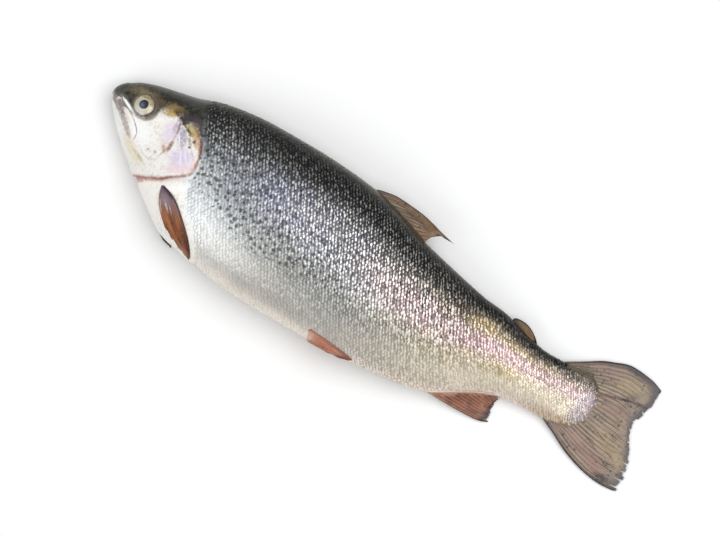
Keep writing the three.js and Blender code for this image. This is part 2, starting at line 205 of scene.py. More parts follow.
@dataclass(frozen=True)
class BodyForm:
    """The smooth outer form of the whole body, out to the tips of the scales, in millimetres."""

    stations: tuple[Station, ...] = (
        Station(-2, 13, -1.5, 7, 15.5),
        Station(5, 16.3, -7, 9, 15.9),
        Station(12, 20.9, -14.3, 11.4, 16.4),
        Station(23, 25.4, -23.2, 14.4, 17.3),
        Station(36, 29.1, -32.8, 18, 18.6),
        Station(52, 33.4, -43.5, 22.3, 20.8),
        Station(66, 39.2, -53, 25.2, 23),
        Station(80, 42.8, -61.3, 27, 24.8),
        Station(100, 46.2, -65.4, 28.8, 26.6),
        Station(125, 47.9, -68.6, 30.5, 28.3),
        Station(155, 49, -70, 31.2, 29),
        Station(192, 47.4, -68.6, 30.4, 28.2),
        Station(216, 42.4, -67.4, 29, 26.8),
        Station(241, 35.6, -65.2, 26.6, 24.4),
        Station(276, 29.1, -59.8, 21.6, 19.4),
        Station(299, 25.6, -53, 17.6, 15.6),
        Station(318, 24.4, -41.5, 14.6, 12.8),
        Station(337, 20, -30.7, 12, 10.4),
        Station(358, 17.2, -26, 10, 8.6),
        Station(378, 19.6, -24.2, 7.2, 6.6),
        Station(407, 22, -22, 2.4, 4.4),
    )
    snout_rounding: float = 6.5
    tail_rounding: float = 16.0
    section_power: float = 0.94
    shoulder_fullness: float = 0.05
    flank_reach: float = 0.97
    coat_depth: float = 0.45

    @property
    def start(self) -> float:
        """Where the snout begins."""
        return self.stations[0].x

    @property
    def end(self) -> float:
        """Where the flesh of the tail ends."""
        return self.stations[-1].x

    def line(self, name: str, x: Array) -> Array:
        """Reads one line of the stations at any place.

        Args:
            name: back, belly, half_width or axis.
            x: places along the body.

        Returns:
            The line's smooth value at each place.
        """
        places = np.array([s.x for s in self.stations])
        values = np.array([getattr(s, name) for s in self.stations])
        slopes = np.empty_like(values)
        slopes[1:-1] = (values[2:] - values[:-2]) / (places[2:] - places[:-2])
        slopes[0] = (values[1] - values[0]) / (places[1] - places[0])
        slopes[-1] = (values[-1] - values[-2]) / (places[-1] - places[-2])
        x = np.asarray(x, float)
        i = np.clip(np.searchsorted(places, x, "right") - 1, 0, len(places) - 2)
        span = places[i + 1] - places[i]
        t = np.clip((x - places[i]) / span, 0, 1)
        value = values[i] * (1 + 2 * t) * (1 - t) ** 2 + values[i + 1] * t**2 * (3 - 2 * t)
        return value + span * t * (1 - t) * (slopes[i] * (1 - t) - slopes[i + 1] * t)

    def rounding(self, x: Array) -> Array:
        """How full the section is: 0 at the two ends of the flesh, 1 past their rounding."""
        ends = [(x - self.start) / self.snout_rounding, (self.end - x) / self.tail_rounding]
        full = np.ones_like(np.asarray(x, float))
        for share in ends:
            full = full * np.sqrt(np.maximum(1 - (1 - np.clip(share, 0, 1)) ** 2, 0))
        return full

    def middle(self, x: Array) -> Array:
        """The height half-way between the belly and the back."""
        return (self.line("back", x) + self.line("belly", x)) / 2

    def half_height(self, x: Array) -> Array:
        """Half the depth of the body, with its ends rounded."""
        return (self.line("back", x) - self.line("belly", x)) / 2 * self.rounding(x)

    def girth(self, x: Array, y: Array) -> Array:
        """How far up the side a point lies: -1 at the belly, 0 on the middle and 1 at the back."""
        depth = (self.line("back", x) - self.line("belly", x)) / 2
        return np.clip((y - self.middle(x)) / depth, -1, 1)

    def _rounded(self, value: Array) -> Array:
        """Fills out a sine or cosine into the section's fuller curve."""
        return np.sign(value) * np.abs(value) ** self.section_power

    def point(self, x: Array, angle: Array, offset: Array | float = 0.0, low: float = 0.0) -> Array:
        """A point of the surface.

        Args:
            x: places along the body.
            angle: 0 at the back, a quarter turn on the left flank, a half turn at the belly.
            offset: how far out of the surface, or into it below zero.
            low: the lowest height that the point may have.

        Returns:
            The points, with x, y and z in their last dimension.
        """
        x, angle = np.broadcast_arrays(np.asarray(x, float), np.asarray(angle, float))
        high = np.maximum(self.half_height(x) + offset, 0)
        wide = np.maximum(self.line("half_width", x) * self.rounding(x) + offset, 0)
        across = wide * self._rounded(np.sin(angle)) * (1 + self.shoulder_fullness * np.cos(angle))
        y = self.middle(x) + high * self._rounded(np.cos(angle))
        z = np.maximum(self.line("axis", x) + across, low)
        return np.stack([x, y, z], -1)

    def flank_height(self, x: Array, y: Array) -> Array:
        """The height of the upper flank over a point seen from the side."""
        reach = (y - self.middle(x)) / np.maximum(self.half_height(x), 1e-6)
        reach = np.clip(reach, -self.flank_reach, self.flank_reach)
        cosine = np.sign(reach) * np.abs(reach) ** (1 / self.section_power)
        sine = np.sqrt(1 - cosine**2)
        full = 1 + self.shoulder_fullness * cosine
        wide = self.line("half_width", x) * self.rounding(x)
        return self.line("axis", x) + wide * self._rounded(sine) * full


@dataclass(frozen=True)
class Placement:
    """Carries the body's own millimetres into the frame's metres."""

    shift_x: float
    shift_y: float

    @staticmethod
    def from_eye(eye_x: float, eye_y: float) -> "Placement":
        """Finds the shift from the left eye of the frame.

        Args:
            eye_x: the eye's place along the body.
            eye_y: the eye's height towards the back.

        Returns:
            The placement of the whole body.
        """
        low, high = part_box("eye_left")
        middle = (low + high) / 2
        return Placement(middle.x / MM - eye_x, middle.y / MM - eye_y)

    def metres(self, points: Array) -> Array:
        """The same points in the frame, in metres."""
        return (points + np.array([self.shift_x, self.shift_y, 0.0])) * MM


# --- making meshes


def show(name: str, data: bpy.types.ID) -> Object:
    """Puts a mesh, a light or a camera into the scene."""
    made = bpy.data.objects.new(name, data)
    bpy.context.scene.collection.objects.link(made)
    return made


def finish_piece(mesh: Mesh, material: Material, nodes: Iterable[str] = ()) -> Object:
    """Turns a mesh into a shown piece of the fish, with the mesh's name.

    Args:
        mesh: the finished mesh, already in its place.
        material: what it is dressed in.
        nodes: the frame's nodes that it stands for.

    Returns:
        The new object.
    """
    mesh.materials.clear()
    mesh.materials.append(material)
    piece = show(mesh.name, mesh)
    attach(piece, BODY)
    nodes = tuple(nodes)
    if nodes:
        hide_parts(*nodes)
    triangles = sum(len(p.vertices) - 2 for p in mesh.polygons)
    LOG.info("%s: %d vertices, %d triangles", mesh.name, len(mesh.vertices), triangles)
    return piece


def write_attributes(mesh: Mesh, values: dict[str, Array]) -> None:
    """Stores named numbers, one for each vertex, for the materials to read."""
    for name, numbers in values.items():
        layer = mesh.attributes.new(name, "FLOAT", "POINT")
        layer.data.foreach_set("value", np.ascontiguousarray(numbers, np.float32))


def write_mesh(bm: bmesh.types.BMesh, mesh: Mesh) -> Mesh:
    """Writes an edited shape into a mesh, smoothly shaded, and lets go of the shape."""
    bm.to_mesh(mesh)
    bm.free()
    mesh.shade_smooth()
    return mesh


def read_points(mesh: Mesh) -> Array:
    """The mesh's vertices as rows of x, y and z."""
    flat = np.empty(len(mesh.vertices) * 3)
    mesh.vertices.foreach_get("co", flat)
    return flat.reshape(-1, 3)


def slab(name: str, lower: Array, upper: Array, masks: dict[str, Array]) -> Mesh:
    """A closed thin solid between two surfaces of the same grid.

    Args:
        name: the mesh's name.
        lower: the lower surface's points, in metres, by column and row.
        upper: the upper surface's points.
        masks: values by column and row for the materials.

    Returns:
        The mesh, with its faces pointing out.
    """
    columns, rows = lower.shape[0] - 1, lower.shape[1] - 1
    bm = bmesh.new()
    bmesh.ops.create_grid(bm, x_segments=columns, y_segments=rows, size=1.0)
    places = ("column", "row", "raised")
    column, row, raised = (bm.verts.layers.int.new(key) for key in places)
    layers = {key: bm.verts.layers.float.new(key) for key in masks}
    for vert in bm.verts:
        vert[column] = round((vert.co.x + 1) / 2 * columns)
        vert[row] = round((vert.co.y + 1) / 2 * rows)
    shell = bmesh.ops.extrude_face_region(bm, geom=bm.faces[:])
    for item in shell["geom"]:
        if isinstance(item, bmesh.types.BMVert):
            item[raised] = 1
    for vert in bm.verts:
        i, j = vert[column], vert[row]
        vert.co = upper[i, j] if vert[raised] else lower[i, j]
        for key, layer in layers.items():
            vert[layer] = masks[key][i, j]
    for key in places:
        bm.verts.layers.int.remove(bm.verts.layers.int[key])
    bmesh.ops.recalc_face_normals(bm, faces=bm.faces[:])
    return write_mesh(bm, bpy.data.meshes.new(name))


# --- shader helpers


class Graph:
    """Adds nodes to a shader tree and joins them."""

    def __init__(self, tree: NodeTree) -> None:
        """Keeps the tree that the nodes go in."""
        self.tree = tree

    def feed(self, socket: NodeSocket, value: object) -> None:
        """Links another node's output into a socket, or sets its plain value or its colour code."""
        if isinstance(value, NodeSocket):
            self.tree.links.new(value, socket)
        else:
            socket.default_value = shade(value) if isinstance(value, str) else value

    def node(self, kind: str, inputs: dict[str, object] | None = None, **settings: object) -> Node:
        """Adds a node.

        Args:
            kind: the node's type name.
            inputs: what goes into its sockets, by name.
            settings: its other properties.

        Returns:
            The new node.
        """
        made = self.tree.nodes.new(kind)
        for key, value in settings.items():
            setattr(made, key, value)
        for key, value in (inputs or {}).items():
            self.feed(made.inputs[key], value)
        return made

    def fill(self, made: Node, *values: object) -> Node:
        """Feeds values into a node's first sockets, in order."""
        for socket, value in zip(made.inputs, values):
            self.feed(socket, value)
        return made

    def math(self, operation: str, *values: object) -> NodeSocket:
        """One sum on up to three values."""
        return self.fill(self.node("ShaderNodeMath", operation=operation), *values).outputs[0]

    def plus(self, first: object, second: object) -> NodeSocket:
        """Adds two values."""
        return self.math("ADD", first, second)

    def minus(self, first: object, second: object) -> NodeSocket:
        """Takes the second value from the first."""
        return self.math("SUBTRACT", first, second)

    def larger(self, first: object, second: object) -> NodeSocket:
        """The larger of two values."""
        return self.math("MAXIMUM", first, second)

    def times(self, first: object, *others: object) -> NodeSocket:
        """Multiplies values together."""
        for other in others:
            first = self.math("MULTIPLY", first, other)
        return first

    def scaled(self, value: object, factor: float, offset: float = 0.0) -> NodeSocket:
        """Multiplies a value and adds an offset."""
        return self.math("MULTIPLY_ADD", value, factor, offset)

    def centred(self, value: object, reach: float) -> NodeSocket:
        """Spreads a value round 0.5 to either side of 0, by the reach."""
        return self.scaled(value, 2 * reach, -reach)

    def window(
        self, value: object, low: float, high: float, start: float = 0.0, stop: float = 1.0
    ) -> NodeSocket:
        """Eases a value from start, at low, to stop, at high."""
        eased = self.node("ShaderNodeMapRange", interpolation_type="SMOOTHSTEP")
        return self.fill(eased, value, low, high, start, stop).outputs[0]

    def peak(self, value: object, centre: float, reach: float) -> NodeSocket:
        """1 at the centre, easing to 0 at the reach on either side."""
        return self.window(self.math("ABSOLUTE", self.minus(value, centre)), 0.0, reach, 1.0, 0.0)

    def mix(self, share: object, first: object, second: object) -> NodeSocket:
        """Mixes two colours."""
        made = self.node("ShaderNodeMix", data_type="RGBA", clamp_factor=True)
        for place, value in ((0, share), (6, first), (7, second)):
            self.feed(made.inputs[place], value)
        return made.outputs[2]

    def ramp(self, value: object, stops: Stops) -> NodeSocket:
        """Turns a value into a colour through a row of stops."""
        made = self.node("ShaderNodeValToRGB", {"Fac": value})
        made.color_ramp.interpolation = "EASE"
        elements = made.color_ramp.elements
        while len(elements) < len(stops):
            elements.new(1.0)
        for element, (place, code) in zip(elements, stops):
            element.position = place
            element.color = shade(code)
        return made.outputs[0]

    def noise(self, vector: object, scale: float, detail: float = 2.0, roughness: float = 0.5) -> NodeSocket:
        """A cloudy value round 0.5."""
        inputs = {"Vector": vector, "Scale": scale, "Detail": detail, "Roughness": roughness}
        return self.node("ShaderNodeTexNoise", inputs).outputs[0]

    def cells(self, vector: object, scale: float) -> tuple[NodeSocket, NodeSocket]:
        """Divides a flat pattern into cells: each cell's own chance, and the distance from its middle."""
        made = self.node("ShaderNodeTexVoronoi", {"Vector": vector, "Scale": scale}, voronoi_dimensions="2D")
        parted = self.node("ShaderNodeSeparateColor", {"Color": made.outputs["Color"]})
        return parted.outputs[0], made.outputs["Distance"]

    def attribute(self, name: str) -> NodeSocket:
        """A value that the mesh carries."""
        return self.node("ShaderNodeAttribute", attribute_name=name).outputs["Fac"]

    def place(self) -> NodeSocket:
        """The surface's own coordinates, in metres."""
        return self.node("ShaderNodeTexCoord").outputs["Object"]

    def join(self, x: object, y: object) -> NodeSocket:
        """A vector of two values."""
        return self.fill(self.node("ShaderNodeCombineXYZ"), x, y).outputs[0]

    def vector(self, operation: str, *values: object) -> Node:
        """One sum on vectors."""
        return self.fill(self.node("ShaderNodeVectorMath", operation=operation), *values)

    def stretch(self, vector: object, scale: Sequence[float]) -> NodeSocket:
        """Multiplies the three parts of a vector."""
        return self.node("ShaderNodeMapping", {"Vector": vector, "Scale": scale}).outputs[0]

    def bump(self, shader: Node, height: object, strength: float, depth: float) -> None:
        """Makes a shader's surface uneven, by a height and its full depth in millimetres."""
        inputs = {"Height": height, "Strength": strength, "Distance": depth * MM}
        self.feed(shader.inputs["Normal"], self.node("ShaderNodeBump", inputs).outputs[0])

    def group(self, tree: NodeTree, inputs: dict[str, object]) -> Node:
        """Places a node group with its own values."""
        return self.node("ShaderNodeGroup", inputs, node_tree=tree)


def new_group(name: str, inputs: dict[str, object], outputs: dict[str, str]) -> tuple[Graph, Node, Node]:
    """Starts a node group.

    Args:
        name: the group's name.
        inputs: the default of each input, by name: a number, a colour of four or a vector of three.
        outputs: the socket type of each output, by name.

    Returns:
        The group's graph, its input node and its output node.
    """
    tree = bpy.data.node_groups.new(name, "ShaderNodeTree")
    for key, value in inputs.items():
        if isinstance(value, (int, float)):
            kind = "NodeSocketFloat"
        else:
            kind = "NodeSocketColor" if len(value) == 4 else "NodeSocketVector"
        socket = tree.interface.new_socket(name=key, in_out="INPUT", socket_type=kind)
        socket.default_value = value
    for key, kind in outputs.items():
        tree.interface.new_socket(name=key, in_out="OUTPUT", socket_type=kind)
    graph = Graph(tree)
    return graph, graph.node("NodeGroupInput"), graph.node("NodeGroupOutput")


def new_material(name: str, plain: dict[str, object]) -> tuple[Material, Graph, Node]:
    """Starts a material that holds one Principled shader.

    Args:
        name: the material's name.
        plain: the settings that are the same all over the surface, by socket.

    Returns:
        The material, its graph and the shader node.
    """
    material = bpy.data.materials.new(name)
    material.use_nodes = True
    material.node_tree.nodes.clear()
    graph = Graph(material.node_tree)
    shader = graph.node("ShaderNodeBsdfPrincipled", plain)
    graph.node("ShaderNodeOutputMaterial", {"Surface": shader.outputs[0]})
    return material, graph, shader


# --- markings


@dataclass(frozen=True)
class BodyMarkings:
    """The colours of the whole body, from the dark back over the silver flank to the pale belly."""

    front: Stops = (
        (0.0, "f8f3ea"), (0.2, "f3f5f4"), (0.36, "e4e9eb"), (0.5, "bac0c4"), (0.68, "868a8d"),
        (0.83, "4a4a46"), (0.94, "121210"), (1.0, "3c372c"),
    )
    middle: Stops = (
        (0.0, "f6ecdf"), (0.13, "c2beb6"), (0.32, "a6a7a3"), (0.48, "a5a5a7"), (0.62, "97948f"),
        (0.76, "4c4a48"), (0.86, "1f1e1b"), (0.95, "12120f"), (1.0, "4f4635"),
    )
    rear: Stops = (
        (0.0, "f6e2d0"), (0.2, "f8ebd2"), (0.42, "f3e5ca"), (0.6, "d3beb0"), (0.74, "a08a74"),
        (0.85, "4a4238"), (0.95, "191713"), (1.0, "3a3226"),
    )
    violet: str = "868ab4"
    pink: str = "e0adbb"
    gold: str = "c8ac68"
    tail_pink: str = "e2d0d6"
    tail_root: str = "d8bea2"
    tail_ridge: str = "93856f"
    collar: str = "f0f3f4"
    spot: str = "262b34"
    spot_density: float = 236.0
    spot_ragged: tuple[float, float, float] = (0.0022, 0.0022, 0.0)

    def build(self) -> NodeTree:
        """Builds the group that skin and scales share.

        Returns:
            A group from the place on the body to its colour, its spots and how strongly the painted glints
            and painted shade of its scales stand out.
        """
        inputs = {"Place": ORIGIN, "Along": 0.0, "Height": 0.0, "Around": 0.0}
        outputs = {"Colour": "NodeSocketColor", "Spots": "NodeSocketFloat", "Contrast": "NodeSocketFloat"}
        graph, entry, result = new_group("body_markings", inputs, outputs)
        place, along, height, around = (entry.outputs[key] for key in inputs)
        broad = graph.noise(place, 42.0, 3.0)
        level = graph.plus(graph.scaled(height, 0.5, 0.5), graph.centred(broad, 0.06))
        layers = [graph.ramp(level, stops) for stops in (self.front, self.middle, self.rear)]
        colour = graph.mix(graph.window(along, 0.18, 0.37), layers[0], layers[1])
        colour = graph.mix(graph.window(along, 0.44, 0.7), colour, layers[2])
        colour = self._tint(graph, colour, along, height, broad)
        spots = self._spots(graph, place, along, height, around)
        graph.feed(result.inputs["Colour"], graph.mix(graph.times(spots, 0.72), colour, self.spot))
        graph.feed(result.inputs["Spots"], spots)
        graph.feed(result.inputs["Contrast"], self._contrast(graph, along, height))
        return graph.tree

    def _contrast(self, graph: Graph, along: object, height: object) -> NodeSocket:
        """How strongly the painted glints and painted shade of the scales stand out: most on the upper flank
        behind the nape, least on the belly.
        """
        upper = graph.window(height, -1.1, 0.35, 0.16, 1.0)
        upper = graph.larger(upper, graph.times(graph.window(along, 0.44, 0.58), 0.46))
        rearward = graph.window(along, 0.22, 0.52, 0.45, 1.0)
        rearward = graph.times(rearward, graph.window(along, 0.6, 0.74, 1.0, 0.68))
        nape = graph.times(graph.window(along, 0.34, 0.22), graph.window(height, 0.2, 0.5, 0.0, 0.75))
        rearward = graph.larger(rearward, nape)
        tail = graph.times(graph.window(along, 0.855, 0.88), graph.window(height, 0.85, 0.55, 0.3, 0.62))
        trunk = graph.times(upper, rearward, graph.window(height, 1.0, 0.8, 0.2, 1.0))
        return graph.larger(trunk, tail)

    def _tint(
        self, graph: Graph, colour: object, along: object, height: object, broad: object
    ) -> NodeSocket:
        """Lays the violet, pink and gold over the flank, and the colours of the collar and the tail root."""
        patchy = graph.window(broad, 0.36, 0.62)
        bands = graph.plus(graph.peak(height, 0.56, 0.24), graph.peak(height, -0.24, 0.42))
        strengths = ((0.45, 0.15), (0.25, 0.35), (0.6, 0.08))
        faint, soft, rich = (graph.scaled(patchy, *strength) for strength in strengths)
        tints = (
            (self.violet, graph.peak(along, 0.36, 0.2), graph.peak(height, 0.25, 0.45), faint),
            (self.pink, graph.window(along, 0.42, 0.62), graph.peak(height, 0.16, 0.42), soft),
            (self.gold, graph.window(along, 0.58, 0.68), graph.window(along, 0.84, 0.77), bands, rich),
            (self.tail_pink, graph.window(along, 0.862, 0.885), graph.window(height, 0.7, 0.3), 0.8),
            (self.collar, graph.window(along, 0.24, 0.185, 0.0, 0.6), graph.window(height, 0.34, 0.04)),
            (self.tail_ridge, graph.window(along, 0.825, 0.86), graph.window(height, 0.6, 0.84), 0.55),
            (self.tail_root, graph.window(along, 0.78, 0.86), graph.window(height, -0.45, -0.8)),
        )
        for code, *shares in tints:
            colour = graph.mix(graph.times(*shares), colour, code)
        return colour

    def _spots(
        self, graph: Graph, place: object, along: object, height: object, around: object
    ) -> NodeSocket:
        """Scatters the small dark spots over the back and the upper flank."""
        spread = graph.join(graph.scaled(along, BODY_LENGTH * MM), around)
        wobble = graph.node("ShaderNodeTexNoise", {"Vector": place, "Scale": 700.0, "Detail": 3.0})
        shift = graph.vector("MULTIPLY_ADD", wobble.outputs["Color"], self.spot_ragged, spread)
        chance, distance = graph.cells(shift.outputs[0], self.spot_density)
        forward = graph.window(along, 0.62, 0.3, 0.12, 1.0)
        lower = graph.minus(height, graph.window(along, 0.16, 0.3, 0.3, 0.0))
        ridge = graph.window(height, 0.95, 0.6, 0.2, 1.0)
        crowd = graph.times(forward, graph.window(lower, -0.62, -0.1), ridge)
        reach = graph.times(graph.window(chance, 0.0, 1.0, 0.2, 0.37), graph.window(crowd, 0.0, 0.6))
        return graph.window(graph.minus(reach, distance), -0.12, 0.14)


@dataclass(frozen=True)
class Patch:
    """One soft patch of colour: its middle, its two radii in millimetres, its slant and its strength."""

    colour: str
    x: float
    y: float
    long: float
    short: float
    slant: float = 0.0
    strength: float = 1.0


@dataclass(frozen=True)
class Patchwork:
    """Soft, ragged oval patches that are laid over a colour, one after another."""

    patches: tuple[Patch, ...]

    @staticmethod
    def group() -> NodeTree:
        """Builds the group that gives one soft, ragged oval patch.

        Returns:
            A group from place and the patch's own sizes to a mask.
        """
        inputs = {"Place": ORIGIN, "Middle": ORIGIN, "Slant": 0.0, "Radii": (1.0, 1.0, 1.0)}
        graph, entry, result = new_group("soft_patch", inputs, {"Mask": "NodeSocketFloat"})
        place, middle, slant, radii = (entry.outputs[key] for key in inputs)
        flat = graph.vector("MULTIPLY", graph.vector("SUBTRACT", place, middle).outputs[0], FLATTEN)
        turned = graph.node("ShaderNodeVectorRotate", rotation_type="Z_AXIS")
        graph.feed(turned.inputs["Vector"], flat.outputs[0])
        graph.feed(turned.inputs["Angle"], slant)
        length = graph.vector("LENGTH", graph.vector("DIVIDE", turned.outputs[0], radii).outputs[0])
        edge = graph.plus(length.outputs["Value"], graph.centred(graph.noise(place, 620.0, 6.0, 0.8), 1.2))
        broken = graph.window(graph.noise(place, 430.0, 3.0, 0.6), 0.36, 0.58, 0.45, 1.0)
        graph.feed(result.inputs["Mask"], graph.times(graph.window(edge, 1.2, 0.3), broken))
        return graph.tree

    def paint(self, graph: Graph, base: object, place: object, where: Placement) -> NodeSocket:
        """Lays every patch over a colour.

        Args:
            graph: the material's graph.
            base: the colour underneath.
            place: the surface's own coordinates.
            where: how the body lies in the frame.

        Returns:
            The painted colour.
        """
        tree = self.group()
        for patch in self.patches:
            middle = where.metres(np.array([patch.x, patch.y, 0.0]))
            inputs = {
                "Place": place,
                "Middle": tuple(middle),
                "Slant": -math.radians(patch.slant),
                "Radii": (patch.long * MM, patch.short * MM, 1.0),
            }
            mask = graph.group(tree, inputs).outputs["Mask"]
            base = graph.mix(graph.times(mask, patch.strength), base, patch.colour)
        return base


@dataclass(frozen=True)
class HeadMarkings:
    """The colours of the scaleless head."""

    cap: str = "24241e"
    cap_light: str = "474336"
    cheek: str = "f8f5ee"
    cloud: str = "c4beb8"
    fleck: str = "b4afa6"
    cap_spot: str = "12120f"
    plate: str = "f0e6dc"
    grain: str = "6d665c"
    eye_ring: str = "665a4c"
    patches: tuple[Patch, ...] = (
        # the cap, the snout and the skin over the eye
        Patch("5c5648", 66, 36, 30, 4.5, 8, 0.3), Patch("84765a", 17, 15.5, 12, 4.8, 14, 0.8),
        Patch("7d6f50", 28, 17.5, 8, 3.6, -4, 0.65), Patch("1d1b17", 50.6, 28.1, 26.4, 3.3, 21, 0.9),
        Patch("55554e", 4.1, 9.1, 5.5, 2.9, 53, 0.8), Patch("54483a", 31.1, 14.8, 8.2, 3.3, -42, 0.7),
        Patch("201d18", 38.4, 21.7, 12.1, 2.2, 19, 0.9),
        # the lips, the upper jaw and the skin under the eye
        Patch("ffffff", 30.5, -8.6, 14.3, 8.8, -27, 1.2), Patch("ffffff", 20.8, -18.9, 20.9, 3.3, -33, 1.3),
        Patch("5a5751", 5.8, 5.8, 6.2, 2.2, 11, 1.8), Patch("746c72", 3.8, 0.7, 5.7, 2.2, -29, 1.3),
        Patch("857b80", 10.9, -2.9, 7.3, 1.9, -33, 1.2), Patch("8d8684", 8.7, 1.0, 5.1, 2.9, -22, 1.8),
        Patch("6f6a66", 7.9, 4.9, 4.8, 1.5, -7, 1.2), Patch("a89a92", 18.9, -8.9, 7.7, 1.4, -35, 0.9),
        Patch("dccfba", 21.1, -7.5, 7.7, 1.3, -33, 0.9), Patch("ffffff", 14.3, 2.1, 8.4, 0.9, -21, 2.2),
        # the near-white streak on the jaw plate at (24.2, -9.6) is a painted highlight
        Patch("fffef8", 24.2, -9.6, 6.6, 1.1, -35, 1.4), Patch("fdfbf4", 26.7, -2.8, 7.7, 2.6, -12, 1.0),
        # behind the eye
        Patch("8c754a", 43.0, 16.5, 9.0, 5.5, 13, 1.3), Patch("b39a5c", 42.8, 13.3, 5.5, 2.4, 23, 0.8),
        Patch("b59757", 40.8, 13.3, 4.9, 2.6, 18, 0.9), Patch("5e4a28", 46.8, 17.4, 4.0, 3.1, 13, 1.1),
        Patch("c9a95e", 43.6, 13.7, 3.3, 0.9, 23, 1.0), Patch("fbf8f0", 38.7, 5.5, 6.6, 2.2, 23, 1.0),
        # the cheek groove and the front of the gill cover
        Patch("e9dcea", 50.1, 2.1, 9.3, 6.8, -72, 1.3), Patch("c3aec6", 51.0, 7.3, 6.0, 2.0, -75, 1.0),
        Patch("e9d3d9", 50.5, -6.3, 4.9, 3.3, -82, 0.9), Patch("7c6670", 53.0, 8.3, 5.7, 1.2, -75, 1.3),
        Patch("a07866", 55.1, -5.9, 5.9, 1.6, -89, 1.1), Patch("c39a8a", 51.8, -10.0, 3.3, 2.0, -57, 0.9),
        Patch("b3abbb", 59.0, 3.8, 11.0, 4.2, -59, 1.2), Patch("f4eef4", 58.1, 1.2, 6.6, 0.8, -55, 1.1),
        # the upper end of the gill cover
        Patch("3a332f", 53.6, 14.1, 7.7, 2.9, -17, 1.4), Patch("3f3838", 60.0, 18.3, 12.1, 3.7, 15, 2.0),
        Patch("4a4041", 68.2, 15.4, 8.8, 3.3, -33, 2.4), Patch("5a4846", 71.8, 9.1, 6.6, 1.5, -51, 1.2),
        Patch("75663f", 65.2, 11.9, 6.4, 2.9, -29, 1.6), Patch("4c403a", 69.7, 12.8, 6.6, 1.8, -39, 1.4),
        Patch("6a5f5e", 62.5, 16.1, 4.4, 2.0, 3, 1.0), Patch("a59561", 62.5, 11.0, 6.8, 3.5, -22, 1.5),
        Patch("cbb980", 62.1, 12.0, 3.1, 1.5, -22, 0.9), Patch("4d4030", 60.0, 10.1, 5.3, 1.0, -29, 1.0),
        Patch("cba880", 69.4, 6.0, 6.8, 2.6, -45, 1.4), Patch("3a2f28", 67.9, 5.5, 1.6, 1.4, 33, 1.6),
        Patch("6a5a60", 67.0, 0.6, 1.4, 1.1, 33, 1.4), Patch("9b8274", 64.9, 4.6, 6.6, 1.1, -47, 0.8),
        # the gill cover and its edge
        Patch("dccfe6", 66.4, -8.8, 11.0, 7.3, 33, 1.4), Patch("f3ecf6", 66.0, -9.5, 7.7, 0.9, -55, 1.1),
        Patch("f6f0f8", 68.4, -6.4, 6.6, 0.7, -53, 1.0), Patch("ecd3dc", 68.2, -16.3, 12.1, 3.7, 33, 1.3),
        Patch("6c4c42", 74.8, 3.4, 7.7, 2.2, -61, 1.3), Patch("b98f80", 77.8, -7.5, 7.7, 2.0, -87, 1.0),
        Patch("e6ddd2", 77.9, 2.8, 12.1, 1.3, -62, 1.0),
        # the lower jaw, the throat and the breast
        Patch("efe3c6", 32.6, -22.5, 16.5, 4.2, -29, 1.1), Patch("c4b79c", 41.3, -24.5, 8.2, 1.1, -25, 0.8),
        Patch("c9bda2", 37.2, -23.6, 7.7, 0.9, -27, 0.6), Patch("b9ad96", 42.5, -16.1, 1.5, 1.3, 33, 1.0),
        Patch("c0b5a0", 48.0, -15.1, 1.5, 1.3, 33, 1.0), Patch("fffaf4", 58, -46, 24, 16, -34, 1.5),
        Patch("c4736a", 45.2, -38.4, 8.4, 2.9, 25, 1.8), Patch("d9a59b", 56.1, -32.3, 13.2, 2.0, 30, 1.0),
        Patch("b07468", 65.3, -26.0, 7.7, 1.5, 41, 1.1), Patch("ecd0ca", 72.9, -21.9, 13.2, 2.6, 41, 1.1),
        Patch("fdfbf8", 74.5, -27.5, 11.0, 5.5, 33, 1.2),
    )


# --- head landmarks


